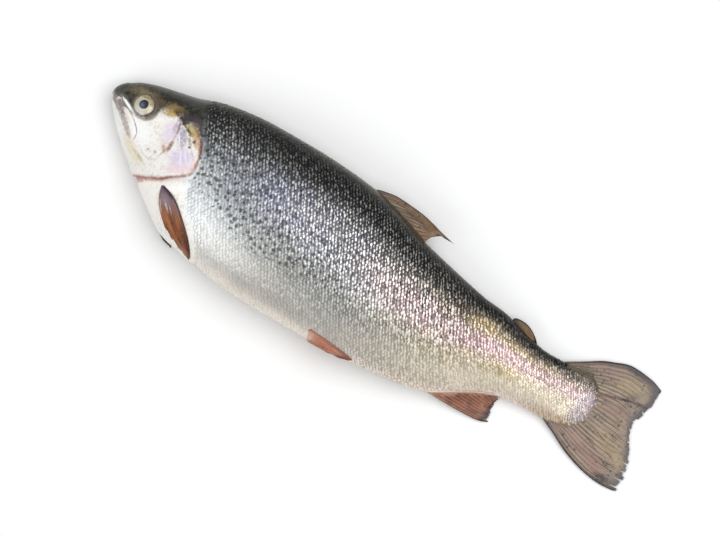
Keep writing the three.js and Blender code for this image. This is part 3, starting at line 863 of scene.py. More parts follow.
@dataclass(frozen=True)
class Landmarks:
    """The lines and places of the head and shoulder, seen from the left side, in millimetres."""

    eye: Point2 = (23.0, 8.3)
    mouth: tuple[Point2, ...] = (
        (-3.2, 2.7), (-0.9, 2), (5, -1.9), (11.5, -6.1), (16.5, -10.3), (22.7, -14.6), (27.6, -16.9),
    )
    jaw_plate: tuple[Point2, ...] = (
        (4.4, 4.2), (10.7, 1), (16, -0.6), (21.4, -3.8), (27.1, -8.6), (29.2, -12), (29.6, -15.6),
        (27.4, -16.2), (24.6, -13.4), (20, -9.2), (14.6, -4.6), (9, -0.4),
    )
    cheek: tuple[Point2, ...] = (
        (50.6, 15.5), (52.6, 10), (53.6, 5), (53.9, -3), (53.4, -9), (51.8, -15), (50.6, -19.6),
        (45.8, -21.7), (39.9, -20.5), (34, -16.9),
    )
    gill: tuple[Point2, ...] = (
        (41.5, -40), (44.8, -37.4), (50, -34.6), (55.5, -31.6), (60.6, -29), (66.5, -24.3), (73.5, -18.9),
        (77.6, -14.6), (78.2, -9.2), (77, -3.3), (74.7, 3.8), (68.9, 10.2), (62.5, 14.6), (57, 16.5),
    )
    suture: tuple[Point2, ...] = ((56.2, 9.5), (60, 6.6), (64.5, 3.6), (70.4, -1.4), (76, -6.4))
    cap: tuple[Point2, ...] = (
        (-6, 4.6), (0, 4.2), (8, 4.4), (13, 2.6), (17, 2.2), (24, -0.6), (30, 0.6), (33.5, 6), (36, 12.5),
        (42, 17),
        (49, 16.4), (54, 14.4), (60, 16.5), (68, 16), (76, 10), (84, 8), (100, 8),
    )
    scales: tuple[Point2, ...] = (
        (60, 48), (60.6, 36), (61.1, 28.7), (65.6, 20.7), (69.4, 13.6), (76, 5.2), (78.8, -2.6), (80, -9.6),
        (79.8, -17),
        (80.8, -24), (84.2, -32), (92, -41), (101, -49), (108, -58), (112, -72),
    )
    nostrils: tuple[Point2, ...] = ((11.2, 12.6), (13.4, 12.1))
    tail_top: tuple[Point2, ...] = (
        (356.0, 60.0), (366.0, 18.5), (380.0, 14.5), (386.0, 17.4), (395.0, 18.0), (402.0, 16.5),
    )
    tail_middle: Point2 = (384.0, -0.5)
    tail_radii: Point2 = (22.5, 21.5)

    def coat_top(self, x: Array) -> Array:
        """The height under which scales grow on the tail root, where the fin's skin reaches over the body."""
        places, heights = zip(*self.tail_top)
        return np.interp(x, places, heights)

    def tail_reach(self, x: Array, y: Array) -> Array:
        """How far a point lies from the middle of the tail root, with 1 on the root's rounded end."""
        (middle_x, middle_y), (long, high) = self.tail_middle, self.tail_radii
        return np.hypot((x - middle_x) / long, (y - middle_y) / high)


# --- the skin


@dataclass
class Skin:
    """One closed skin over head, jaws, gill covers, trunk and tail."""

    form: BodyForm
    where: Placement
    marks: Landmarks
    rings: int = 300
    sides: int = 300
    head_length: float = 86.0
    head_crowding: float = 6.4
    left_crowding: float = 1.5
    flank_crowding: float = 0.7
    lowest: float = 0.42
    socket_radius: float = 7.25
    socket_depth: float = 3.0
    lip_height: float = 0.3
    replaced: tuple[str, ...] = (
        "head", "lower_jaw", "gill_cover_left", "gill_cover_right", "upper_jaw_left", "upper_jaw_right",
        "trunk_front", "trunk_rear", "tail",
    )

    def ring_places(self) -> Array:
        """Where the rings stand: evenly over the surface, and crowded on the head."""
        share = (1 - np.cos(np.linspace(0, math.pi, FINE_STEPS))) / 2
        x = self.form.start + (self.form.end - self.form.start) * share
        path = np.hypot(np.diff(x), np.diff(self.form.half_height(x)))
        middle = (x[:-1] + x[1:]) / 2
        crowd = 1 + (self.head_crowding - 1) * smooth_step(self.head_length + 8, self.head_length - 4, middle)
        total = running(path * crowd)
        return np.interp(np.linspace(0, total[-1], self.rings + 1), total, x)

    def side_angles(self) -> Array:
        """The angles round each ring, crowded on the left flank."""
        angle = np.linspace(0, TURN, FINE_STEPS)
        middle = (angle[:-1] + angle[1:]) / 2
        crowd = np.where(middle < math.pi, self.left_crowding, 1.0)
        crowd = crowd * (1 + self.flank_crowding * np.abs(np.sin(middle)))
        total = running(crowd)
        return np.interp(np.linspace(0, total[-1], self.sides + 1), total, angle)

    def build(self, material: Material) -> Object:
        """Makes the skin.

        Args:
            material: what it is dressed in.

        Returns:
            The skin's object.
        """
        bm = bmesh.new()
        bmesh.ops.create_grid(bm, x_segments=self.rings, y_segments=self.sides, size=1.0)
        mesh = bpy.data.meshes.new("trout_skin")
        bm.to_mesh(mesh)
        bm.free()
        flat = read_points(mesh)
        ring = np.rint((flat[:, 0] + 1) / 2 * self.rings).astype(int)
        side = np.rint((flat[:, 1] + 1) / 2 * self.sides).astype(int)
        x, angle = self.ring_places(), self.side_angles()
        grid = self.form.point(x[:, None], angle[None, :])
        relief, masks = Relief(self.form, self.marks, self).work_out(grid, angle)
        sunk = -self.form.coat_depth * masks["scaled"]
        points = self.form.point(x[:, None], angle[None, :], sunk, self.lowest)
        points = points + self._normals(points) * relief[..., None]
        points[..., 2] = np.maximum(points[..., 2], self.lowest * 0.5)
        placed = self.where.metres(points)[ring, side]
        mesh.vertices.foreach_set("co", placed.astype(np.float32).ravel())
        masks["along"] = grid[..., 0] / BODY_LENGTH
        masks["height"] = self.form.girth(grid[..., 0], grid[..., 1])
        masks["around"] = self._around(grid)
        write_attributes(mesh, {key: mask[ring, side] for key, mask in masks.items()})
        bm = bmesh.new()
        bm.from_mesh(mesh)
        bmesh.ops.remove_doubles(bm, verts=bm.verts[:], dist=1e-7)
        bmesh.ops.recalc_face_normals(bm, faces=bm.faces[:])
        write_mesh(bm, mesh)
        return finish_piece(mesh, material, self.replaced)

    def _around(self, grid: Array) -> Array:
        """How far round the body each point lies from the back, in metres: below 0 on the right side."""
        steps = np.linalg.norm(np.diff(grid, axis=1), axis=-1)
        arc = np.concatenate([np.zeros((len(grid), 1)), np.cumsum(steps, axis=1)], axis=1)
        other = arc[:, -1:] - arc
        return np.where(arc <= other, arc, -other) * MM

    @staticmethod
    def _normals(points: Array) -> Array:
        """Outward directions of a ring-and-side grid of points."""
        along = np.gradient(points, axis=0)
        wrapped = np.concatenate([points[:, -2:-1], points, points[:, 1:2]], axis=1)
        around = (wrapped[:, 2:] - wrapped[:, :-2]) / 2
        return unit(np.cross(around, along))


@dataclass(frozen=True)
class Relief:
    """How far the skin stands out or sinks in at each place, and the masks that its colours follow."""

    form: BodyForm
    marks: Landmarks
    skin: Skin
    head_margin: float = 20.0
    cap_reach: float = 20.0
    cleft_depth: float = 1.0
    upper_lip_height: float = 0.34
    lower_lip_height: float = 0.22
    jaw_tuck: float = 0.75
    plate_height: float = 0.5
    plate_groove: float = 0.35
    cover_height: float = 0.55
    slit_depth: float = 1.25
    fold_height: float = 0.16
    fold_spacing: float = 2.3
    suture_depth: float = 0.16
    cheek_groove: float = 0.42
    cheek_step: float = 0.3
    ring_groove: float = 0.25
    nostril_depth: float = 0.55
    nostril_rim: float = 0.18
    vent_place: float = 287.6
    vent_height: float = 1.3
    dorsal_root: tuple[float, float, float, float] = (188, 196, 236, 243)
    dorsal_height: float = 1.0
    anal_root: tuple[float, float, float, float] = (294, 302, 338, 346)
    anal_height: float = 0.9
    unevenness: float = 0.16

    def work_out(self, grid: Array, angle: Array) -> tuple[Array, dict[str, Array]]:
        """Works out the relief.

        Args:
            grid: the smooth form's points by ring and side.
            angle: the angle of each side.

        Returns:
            The height over the form, in millimetres, and the named masks, by ring and side.
        """
        shape = grid.shape[:2]
        x, y = grid[..., 0].ravel(), grid[..., 1].ravel()
        names = (
            "scaled", "tail_end", "shoulder", "mouth", "lip", "plate", "plate_edge", "gill_gap", "gill_rim",
            "cheek_line", "cap", "socket", "nostril", "suture",
        )
        masks = {name: np.zeros(len(x)) for name in names}
        height = np.zeros(len(x))
        scaled, _ = Trace(self.marks.scales).measure(x, y)
        masks["scaled"] = smooth_step(-1.5, 1.8, scaled)
        end = self.marks.tail_reach(x, y)
        over = smooth_step(-1.5, 1.0, y - self.marks.coat_top(x))
        masks["tail_end"] = np.maximum(smooth_step(0.84, 0.98, end) * smooth_step(380, 386, x), over)
        near = x < self.skin.head_length + self.head_margin
        hx, hy = x[near], y[near]
        head = {name: np.zeros(len(hx)) for name in names}
        relief = self._mouth(hx, hy, head) + self._jaw_plate(hx, hy, head) + self._gill(hx, hy, head)
        relief += self._cheek(hx, hy, head) + self._socket(hx, hy, head) + self._nostrils(hx, hy, head)
        cap, _ = Trace(self.marks.cap).measure(hx, hy)
        head["cap"] = np.clip(cap, -self.cap_reach, self.cap_reach)
        height[near] = relief
        for name in names[2:]:
            masks[name][near] = head[name]
        masks["cap"][~near] = np.where(y[~near] > 0, self.cap_reach, -self.cap_reach)
        height += self._trunk(x, np.broadcast_to(angle, shape).ravel())
        height[(x <= self.form.start + 1e-6) | (x >= self.form.end - 1e-6)] = 0.0
        shaped = {name: mask.reshape(shape) for name, mask in masks.items()}
        return height.reshape(shape), shaped

    def _mouth(self, x: Array, y: Array, masks: dict[str, Array]) -> Array:
        """The closed mouth: a cleft under an overhanging upper lip, with the lower jaw tucked in."""
        away, share = Trace(self.marks.mouth).measure(x, y)
        ends = smooth_step(1.0, 0.9, share)
        cleft = bell(away, 0, 0.42) * ends
        # painted shade in the mouth's cleft
        masks["mouth"] = bell(away, -0.1, 0.55) * smooth_step(1.0, 0.93, share)
        masks["lip"] = bell(away, 1.3, 1.3) * smooth_step(0.02, 0.14, share) * ends
        upper_lip = self.upper_lip_height * bell(away, 1.0, 0.75) * smooth_step(0.75, 0.3, share)
        lower_lip = self.lower_lip_height * bell(away, -1.1, 0.6)
        tucked = -self.jaw_tuck * smooth_step(0.3, -0.9, away) * smooth_step(-11, -1, away) * ends
        return -self.cleft_depth * cleft + upper_lip + lower_lip * ends + tucked

    def _jaw_plate(self, x: Array, y: Array, masks: dict[str, Array]) -> Array:
        """The plate of the upper jaw, raised, with a thin dark edge of painted shade in the groove along its
        rear.
        """
        inside, _ = Trace(self.marks.jaw_plate, closed=True).measure(x, y)
        masks["plate"] = smooth_step(-0.4, 0.5, inside)
        rear, share = Trace(self.marks.jaw_plate[:7]).measure(x, y)
        # painted shade in the groove along the plate's rear
        masks["plate_edge"] = bell(rear, 0.25, 0.42) * smooth_step(0.12, 0.3, share)
        groove = -self.plate_groove * bell(rear, 0.3, 0.4) * smooth_step(0.05, 0.2, share)
        return self.plate_height * smooth_step(-0.15, 0.8, inside) + groove

    def _gill(self, x: Array, y: Array, masks: dict[str, Array]) -> Array:
        """The gill cover's free edge over a shadowed slit, and the folds of the throat skin before it."""
        away, share = Trace(self.marks.gill).measure(x, y)
        fade = smooth_step(1.0, 0.93, share) * smooth_step(0.0, 0.03, share)
        cover = self.cover_height * smooth_step(-0.1, 1.6, away) * smooth_step(15, 4, away)
        slit = -self.slit_depth * smooth_step(0.25, -0.35, away) * smooth_step(-7.5, -0.8, away)
        faint = 1 - 0.6 * smooth_step(0.5, 0.56, share) * smooth_step(0.68, 0.62, share)
        faint = faint - 0.8 * smooth_step(0.8, 0.88, share)
        # painted shade in the gill slit, over the red of the gills
        masks["gill_gap"] = bell(away, -0.5, 1.05) * fade * faint
        masks["gill_rim"] = smooth_step(3.0, 0.4, away) * smooth_step(-0.3, 0.2, away) * fade
        masks["shoulder"] = smooth_step(-0.9, -1.7, away) * smooth_step(-26, -17, y) * smooth_step(15, 6, y)
        low = smooth_step(0.46, 0.34, share) * smooth_step(9.5, 6.5, away) * smooth_step(0.6, 1.8, away)
        folds = self.fold_height * np.sin(TURN * away / self.fold_spacing) * low
        seam, along = Trace(self.marks.suture).measure(x, y)
        # painted shade in the suture's groove
        masks["suture"] = bell(seam, 0, 0.45) * smooth_step(1.0, 0.8, along)
        return (cover + slit) * fade + folds - self.suture_depth * masks["suture"]

    def _cheek(self, x: Array, y: Array, masks: dict[str, Array]) -> Array:
        """The groove behind and below the cheek."""
        away, share = Trace(self.marks.cheek).measure(x, y)
        fade = smooth_step(1.0, 0.85, share) * smooth_step(0.0, 0.1, share)
        # painted shade in the cheek groove
        masks["cheek_line"] = bell(away, 0, 0.65) * fade * (0.3 + 0.7 * smooth_step(0.72, 0.5, share))
        step = self.cheek_step * smooth_step(0.2, -0.5, away) * smooth_step(-7, -1, away)
        return (-self.cheek_groove * bell(away, 0.1, 0.55) + step) * fade

    def _socket(self, x: Array, y: Array, masks: dict[str, Array]) -> Array:
        """The eye's socket, a low rim round it and the dark ring of skin behind it."""
        eye_x, eye_y = self.marks.eye
        away = np.hypot(x - eye_x, y - eye_y)
        radius = self.skin.socket_radius
        pit = -self.skin.socket_depth * smooth_step(radius + 0.15, radius - 0.75, away)
        rim = self.skin.lip_height * bell(away, radius + 0.9, 0.8)
        behind = np.hypot((x - eye_x - 1.6) / 1.14, y - eye_y + 0.9)
        masks["socket"] = smooth_step(radius + 2.9, radius + 1.1, behind)
        return pit + rim - self.ring_groove * bell(away, radius + 3.2, 1.1)

    def _nostrils(self, x: Array, y: Array, masks: dict[str, Array]) -> Array:
        """The two small nostrils with the flap between them."""
        height = np.zeros(len(x))
        for nostril_x, nostril_y in self.marks.nostrils:
            away = np.hypot(x - nostril_x, y - nostril_y)
            # painted shade in the nostrils
            masks["nostril"] = np.maximum(masks["nostril"], bell(away, 0, 0.75))
            height += self.nostril_rim * bell(away, 1.1, 0.45) - self.nostril_depth * bell(away, 0, 0.65)
        return height

    def _trunk(self, x: Array, angle: Array) -> Array:
        """The vent, the fleshy roots of the fins and the slight unevenness of the flesh."""
        vent = self.vent_height * bell(x, self.vent_place, 3.2) * bell(angle, math.pi, 0.12)
        back = np.minimum(angle, TURN - angle)
        dorsal = self.dorsal_height * self._span(x, self.dorsal_root) * bell(back, 0, 0.1)
        anal = self.anal_height * self._span(x, self.anal_root) * bell(angle, math.pi, 0.14)
        body = self._span(x, (70, 100, 380, 400))
        uneven = self.unevenness * np.sin(x / 9.0 + 2.1 * np.sin(angle)) * np.sin(3 * angle + x / 31.0)
        return vent + dorsal + anal + uneven * body

    @staticmethod
    def _span(x: Array, places: tuple[float, float, float, float]) -> Array:
        """Rises from 0 to 1 between the first two places along the body and falls between the last two."""
        start, full, fading, end = places
        return smooth_step(start, full, x) * smooth_step(end, fading, x)


@dataclass(frozen=True)
class SkinFinish:
    """Wet skin: the body's markings, and the head's own colours in front of the scales."""

    body: BodyMarkings
    head: HeadMarkings
    flesh: tuple[str, str, str] = ("9b8678", "7f6c60", "625846")
    roughness: float = 0.34
    coat: float = 0.35
    coat_roughness: float = 0.14
    refraction: float = 1.37

    def build(self, markings: NodeTree, where: Placement) -> Material:
        """Makes the material.

        Args:
            markings: the group that skin and scales share.
            where: how the body lies in the frame.

        Returns:
            The material.
        """
        plain = {"IOR": self.refraction, "Coat Weight": self.coat, "Coat Roughness": self.coat_roughness}
        material, graph, shader = new_material("wet_skin", plain)
        place = graph.place()
        inputs = {key.title(): graph.attribute(key) for key in ("along", "height", "around")}
        body = graph.group(markings, {"Place": place, **inputs})
        grain = graph.noise(place, 900.0, 3.0, 0.6)
        mottle = graph.noise(place, 260.0, 4.0, 0.65)
        cap_edge = graph.plus(graph.attribute("cap"), graph.centred(mottle, 4.5))
        capped = graph.window(cap_edge, -2.0, 2.2)
        colour = graph.mix(capped, self._cheek(graph, place, mottle), self._cap(graph, place, mottle))
        colour = graph.mix(graph.times(graph.attribute("plate"), 0.8), colour, self.head.plate)
        colour = Patchwork(self.head.patches).paint(graph, colour, place, where)
        colour = self._lines(graph, colour, mottle)
        colour = graph.mix(graph.window(grain, 0.56, 0.7, 0.0, 0.14), colour, self.head.grain)
        trunk = graph.larger(graph.attribute("scaled"), graph.attribute("shoulder"))
        colour = graph.mix(trunk, colour, body.outputs["Colour"])
        tail_end = graph.times(graph.attribute("tail_end"), 0.95)
        colour = graph.mix(tail_end, colour, self._flesh(graph, mottle))
        graph.feed(shader.inputs["Base Color"], colour)
        sheen = graph.scaled(graph.window(mottle, 0.3, 0.7), 0.16, self.roughness - 0.08)
        graph.feed(shader.inputs["Roughness"], sheen)
        graph.bump(shader, graph.plus(grain, mottle), strength=0.22, depth=0.3)
        return material

    def _flesh(self, graph: Graph, mottle: object) -> NodeSocket:
        """The scaleless end of the tail root, darker towards the back."""
        dim = graph.window(graph.plus(graph.attribute("height"), graph.centred(mottle, 0.6)), 0.35, 0.8)
        light, dark, back = self.flesh
        return graph.mix(dim, graph.mix(graph.window(mottle, 0.4, 0.6), light, dark), back)

    def _cheek(self, graph: Graph, place: object, mottle: object) -> NodeSocket:
        """White cheek skin with faint grey clouds and fine streaks down it."""
        streaks = graph.noise(graph.stretch(place, (900.0, 170.0, 170.0)), 1.0, 2.0)
        flecks = graph.noise(place, 620.0, 4.0, 0.7)
        colour = graph.mix(graph.window(mottle, 0.5, 0.72, 0.0, 0.55), self.head.cheek, self.head.cloud)
        colour = graph.mix(graph.window(flecks, 0.56, 0.68, 0.0, 0.5), colour, self.head.fleck)
        return graph.mix(graph.window(streaks, 0.54, 0.7, 0.0, 0.45), colour, self.head.cloud)

    def _cap(self, graph: Graph, place: object, mottle: object) -> NodeSocket:
        """Dark olive skin over the skull, clouded and spotted with black."""
        colour = graph.mix(graph.window(mottle, 0.42, 0.66), self.head.cap, self.head.cap_light)
        cells = graph.node("ShaderNodeTexVoronoi", {"Vector": place, "Scale": 330.0})
        spots = graph.window(cells.outputs["Distance"], 0.42, 0.2, 0.0, 0.75)
        return graph.mix(spots, colour, self.head.cap_spot)

    def _lines(self, graph: Graph, colour: object, mottle: object) -> NodeSocket:
        """Draws the mouth, the jaw plate, the gill edge, the cheek groove and the dark ring round the eye:
        the dark lines in the cleft, the grooves, the gill slit and the nostrils are painted shade.
        """
        ringed = graph.times(graph.attribute("socket"), graph.window(mottle, 0.36, 0.6, 1.0, 0.55))
        # the dark lines of the mouth, cheek groove, suture, jaw plate edge and nostrils are painted shade;
        # the gill slit's line is painted shade over the red of the gills
        steps = (
            ("lip", 0.6, "a08d86"),
            ("cheek_line", 0.6, "7d6456"),
            ("suture", 0.42, "655a4e"),
            ("gill_rim", 0.42, "b98a70"),
            ("gill_gap", 0.8, "7b524d"),
            ("plate_edge", 0.85, "55524a"),
            ("mouth", 0.6, "6b5c60"),
            ("nostril", 0.9, "17150f"),
        )
        colour = graph.mix(graph.times(ringed, 0.85), colour, self.head.eye_ring)
        broken = graph.window(mottle, 0.34, 0.58, 0.45, 1.0)
        for name, strength, code in steps:
            share = graph.times(graph.attribute(name), broken, strength)
            colour = graph.mix(share, colour, code)
        return colour


# --- the scales


class CoatPart(Enum):
    """The pieces that the coat of scales is divided into, with the stretch of body each covers."""

    SHOULDER = ("shoulder", 0.0, 150.0)
    FLANK = ("flank", 150.0, 225.0)
    REAR = ("rear", 225.0, 420.0)


@dataclass
class ScaleCoat:
    """Overlapping solid scales over the trunk and the tail root, in staggered rows along the lateral line."""

    form: BodyForm
    where: Placement
    marks: Landmarks
    first: float = 58.0
    last: float = 406.0
    pitch_front: float = 2.66
    pitch_rear: float = 1.9
    row_share: float = 0.87
    lateral_angle: float = math.radians(84)
    length_share: float = 1.5
    width_share: float = 1.86
    front_depth: float = -0.5
    rear_depth: float = -0.1
    dome: float = 0.13
    tilt: float = 0.05
    # the place of each scale's painted glint, a bright slanting dash
    glint_behind: float = 0.33
    glint_long: float = 0.37
    glint_wide: float = 0.18
    glint_turn: Point2 = (0.5, 0.866)
    lateral_dome: float = 1.7
    reach: float = 0.2
    turn_reach: float = 0.004
    bend_reach: float = 0.012
    back_margin: float = 0.4
    lowest: float = 0.05
    patch: float = 0.0015
    outline: int = 12
    inner_ring: float = 0.62
    inner_height: float = 0.55
    seed: int = 11

    def pitch(self, x: Array) -> Array:
        """The distance between scales in a row."""
        return self.pitch_front + (self.pitch_rear - self.pitch_front) * smooth_step(270, 400, x)

    def _columns(self) -> list[float]:
        """Where the staggered columns stand: half a pitch apart."""
        places = [self.first]
        while places[-1] < self.last:
            step = float(self.pitch(np.array(places[-1]))) / 2
            places.append(places[-1] + step)
        return places

    def roots(self, left: bool) -> tuple[Array, Array, Array]:
        """Finds where each scale of one side grows.

        Args:
            left: the left side or the right.

        Returns:
            The place along the body, the angle round it and the row number of each scale.
        """
        found = [[], [], []]
        fine = np.linspace(0, math.pi, 721)
        for number, x in enumerate(self._columns()):
            ring = self.form.point(x, fine)
            arc = running(np.linalg.norm(np.diff(ring, axis=0), axis=1))
            middle = np.interp(self.lateral_angle, fine, arc)
            step = float(self.pitch(np.array(x))) * self.row_share * 2
            half = (number % 2) / 2
            first = math.ceil((self.back_margin - middle) / step - half)
            last = math.floor((arc[-1] - self.back_margin - middle) / step - half)
            rows = np.arange(first, last + 1) + half
            angle = np.interp(middle + rows * step, arc, fine)
            found[0].append(np.full(len(rows), x))
            found[1].append(angle if left else TURN - angle)
            found[2].append(rows)
        x, angle, row = (np.concatenate(parts) for parts in found)
        y = self.form.point(x, angle)[:, 1]
        keep = self._kept(x, y)
        return x[keep], angle[keep], row[keep]

    def _kept(self, x: Array, y: Array) -> Array:
        """Which of the scales grow, with uneven edges behind the head, on the tail root and under its fin."""
        ragged = 0.9 + 1.0 * np.sin(y * 1.7) + 0.7 * np.sin(y * 4.3 + 1.0)
        inside = Trace(self.marks.scales).measure(x, y)[0] > ragged
        scatter = np.abs(np.sin(x * 12.9898 + y * 78.233) * 43758.5453) % 1
        end = self.marks.tail_reach(x, y) + 0.06 * np.sin(y * 1.9)
        rounded = (x < self.marks.tail_middle[0]) | (end < 1.04 - 0.24 * scatter**2)
        under = self.marks.coat_top(x) - y > 7.0 * scatter**2 - 2.0
        return inside & rounded & under

    def template(self) -> tuple[Array, Array, list[list[int]]]:
        """One scale on a unit plan.

        Returns:
            The plan places of its vertices, how far each is from the rim, and its faces.
        """
        turn = np.linspace(0, TURN, self.outline, endpoint=False)
        reach = 1 - 0.07 * np.cos(2 * turn) + 0.05 * np.cos(turn)
        rim = np.stack([np.cos(turn), np.sin(turn)], -1) * reach[:, None]
        plan = np.vstack([[0, 0], rim * self.inner_ring, rim])
        inner = np.concatenate([[1.0], np.full(self.outline, self.inner_height), np.zeros(self.outline)])
        count = self.outline
        after = [(i + 1) % count for i in range(count)]
        faces = [[0, 1 + i, 1 + after[i]] for i in range(count)]
        faces += [[1 + i, 1 + count + i, 1 + count + after[i], 1 + after[i]] for i in range(count)]
        faces.append([1 + count + i for i in reversed(range(count))])
        return plan, inner, faces

    def build(self, material: Material) -> list[Object]:
        """Makes the whole coat.

        Args:
            material: what the scales are dressed in.

        Returns:
            The coat's pieces.
        """
        pieces = []
        draw = np.random.default_rng(self.seed)
        for side in ("left", "right"):
            x, angle, row = self.roots(side == "left")
            chance = draw.random((len(x), 6))
            for part in CoatPart:
                name, low, high = part.value
                chosen = (x >= low) & (x < high)
                scales = (values[chosen] for values in (x, angle, row, chance))
                mesh = self._joined(f"scales_{side}_{name}", *scales)
                pieces.append(finish_piece(mesh, material))
        return pieces

    def _joined(self, name: str, x: Array, angle: Array, row: Array, chance: Array) -> Mesh:
        """Joins many scales into one mesh.

        Args:
            name: the mesh's name.
            x: the place of each scale along the body.
            angle: its angle round the body.
            row: its row number, 0 on the lateral line.
            chance: six random numbers for each scale.

        Returns:
            The joined mesh.
        """
        plan, inner, faces = self.template()
        mirror = 1.0 if "left" in name else -1.0
        pitch = self.pitch(x)
        edge = Trace(self.marks.scales).measure(x, self.form.point(x, angle)[:, 1])[0]
        grown = 0.62 + 0.38 * smooth_step(0.3, 9.0, edge)
        size = grown * (0.93 + 0.14 * chance[:, 0])
        loose = 0.75 + 0.25 * smooth_step(230, 330, x)
        x = x + (chance[:, 1] - 0.5) * 0.46 * loose * pitch
        angle = angle + (chance[:, 2] - 0.5) * 0.026 * loose
        root = self.form.point(x, angle)
        around = mirror * self._arc(x, np.minimum(angle, TURN - angle))
        ahead = np.minimum(x + self.reach, self.form.end - 0.1)
        along = self.form.point(ahead, angle) - self.form.point(x - self.reach, angle)
        beside = self.form.point(x, angle + self.turn_reach) - self.form.point(x, angle - self.turn_reach)
        out = unit(np.cross(beside, along))
        rearward = unit(along - (along * out).sum(-1, keepdims=True) * out)
        sideways = np.cross(out, rearward)
        long = plan[None, :, 0] * (pitch * self.length_share / 2 * size)[:, None]
        wide = plan[None, :, 1] * (pitch * self.row_share * self.width_share / 2 * size)[:, None]
        slope = (self.rear_depth - self.front_depth) * (plan[None, :, 0] + 1) / 2
        dome = self.dome * np.where(row == 0, self.lateral_dome, 1.0)[:, None]
        rise = self.front_depth + slope + dome * inner[None, :]
        rise = rise + long * (chance[:, 3:4] - 0.5) * 2 * self.tilt
        rise = rise + wide * (chance[:, 4:5] - 0.5) * 2 * self.tilt
        points = root[:, None] + long[..., None] * rearward[:, None] + wide[..., None] * sideways[:, None]
        curve = self._drop(root, out, rearward, points, x, angle)
        points = points + (rise + curve)[..., None] * out[:, None]
        points[..., 2] = np.maximum(points[..., 2], self.lowest + 0.12 * inner[None, :])
        mesh = self._mesh(name, points, faces)
        flat = points.reshape(-1, 3)
        count = len(x)
        long_dash, wide_dash = self._dash(plan, mirror)
        values = {
            "along": flat[:, 0] / BODY_LENGTH,
            "height": self.form.girth(flat[:, 0], flat[:, 1]),
            "around": (around[:, None] - wide).ravel() * MM,
            "tone": np.repeat(chance[:, 5], len(plan)),
            "glint_long": np.tile(long_dash, count),
            "glint_wide": np.tile(wide_dash, count),
            "rim": np.tile(1 - inner, count),
            "grown": np.repeat(smooth_step(0.0, 4.5, edge), len(plan)),
        }
        write_attributes(mesh, values)
        self._bake_map(mesh, plan, faces, x, angle)
        return mesh

    def _dash(self, plan: Array, mirror: float) -> tuple[Array, Array]:
        """Measures each vertex along and across the slanting bright dash of its scale, a painted glint, which
        ends at 1.
        """
        behind = plan[:, 0] * self.length_share / 2 - self.glint_behind
        aside = plan[:, 1] * self.row_share * self.width_share / 2 * mirror
        cosine, sine = self.glint_turn
        long = (behind * cosine - aside * sine) / self.glint_long
        wide = (behind * sine + aside * cosine) / self.glint_wide
        return long, wide

    def _arc(self, x: Array, angle: Array) -> Array:
        """The distance over the surface from the back to each place of one side."""
        share = np.linspace(0, 1, 65)
        ring = self.form.point(x[:, None], angle[:, None] * share[None, :])
        return np.linalg.norm(np.diff(ring, axis=1), axis=-1).sum(-1)

    def _drop(
        self, root: Array, out: Array, rearward: Array, points: Array, x: Array, angle: Array
    ) -> Array:
        """How far the body curves away under each vertex of each scale."""
        wide = self.bend_reach
        beside = (self.form.point(x, angle + wide) + self.form.point(x, angle - wide)) / 2 - root
        run = self.form.point(x, angle + wide) - root
        bend = (beside * out).sum(-1) / np.maximum((run**2).sum(-1), 1e-9)
        away = points - root[:, None]
        across = away - (away * rearward[:, None]).sum(-1, keepdims=True) * rearward[:, None]
        return np.clip(bend, -0.2, 0.0)[:, None] * (across**2).sum(-1)

    def _mesh(self, name: str, points: Array, faces: list[list[int]]) -> Mesh:
        """Writes the joined arrays of all scales into one mesh, with a sharp rim on each scale."""
        count, size = points.shape[:2]
        loops = np.array([i for face in faces for i in face])
        totals = np.array([len(face) for face in faces])
        starts = np.arange(count)[:, None] * size
        mesh = bpy.data.meshes.new(name)
        mesh.vertices.add(count * size)
        mesh.vertices.foreach_set("co", self.where.metres(points).astype(np.float32).ravel())
        mesh.loops.add(count * len(loops))
        mesh.loops.foreach_set("vertex_index", (loops[None] + starts).ravel().astype(np.int32))
        mesh.polygons.add(count * len(faces))
        begin = np.concatenate([[0], np.cumsum(np.tile(totals, count))[:-1]])
        mesh.polygons.foreach_set("loop_start", begin.astype(np.int32))
        mesh.update(calc_edges=True)
        mesh.validate()
        mesh.shade_smooth()
        ends = np.empty(len(mesh.edges) * 2, np.int32)
        mesh.edges.foreach_get("vertices", ends)
        on_rim = (ends.reshape(-1, 2) % size >= 1 + self.outline).all(1)
        mesh.edges.foreach_set("use_edge_sharp", on_rim)
        return mesh

    def _bake_map(self, mesh: Mesh, plan: Array, faces: list[list[int]], x: Array, angle: Array) -> None:
        """Lays each scale as a small patch at its root's place on an unwrap of the skin."""
        layer = mesh.uv_layers.new(name="OFBake")
        top = np.array([i for face in faces for i in face])
        under = len(faces[-1])
        local = plan[top] * self.patch
        local[-under:] = plan[top[-under:]] * self.patch * 0.1 + np.array([0.0, self.patch * 1.4])
        span = self.form.end - self.form.start
        root = np.stack([0.01 + 0.98 * (x - self.form.start) / span, 0.01 + 0.98 * angle / TURN], -1)
        spread = root[:, None] + local[None]
        layer.data.foreach_set("uv", spread.astype(np.float32).ravel())


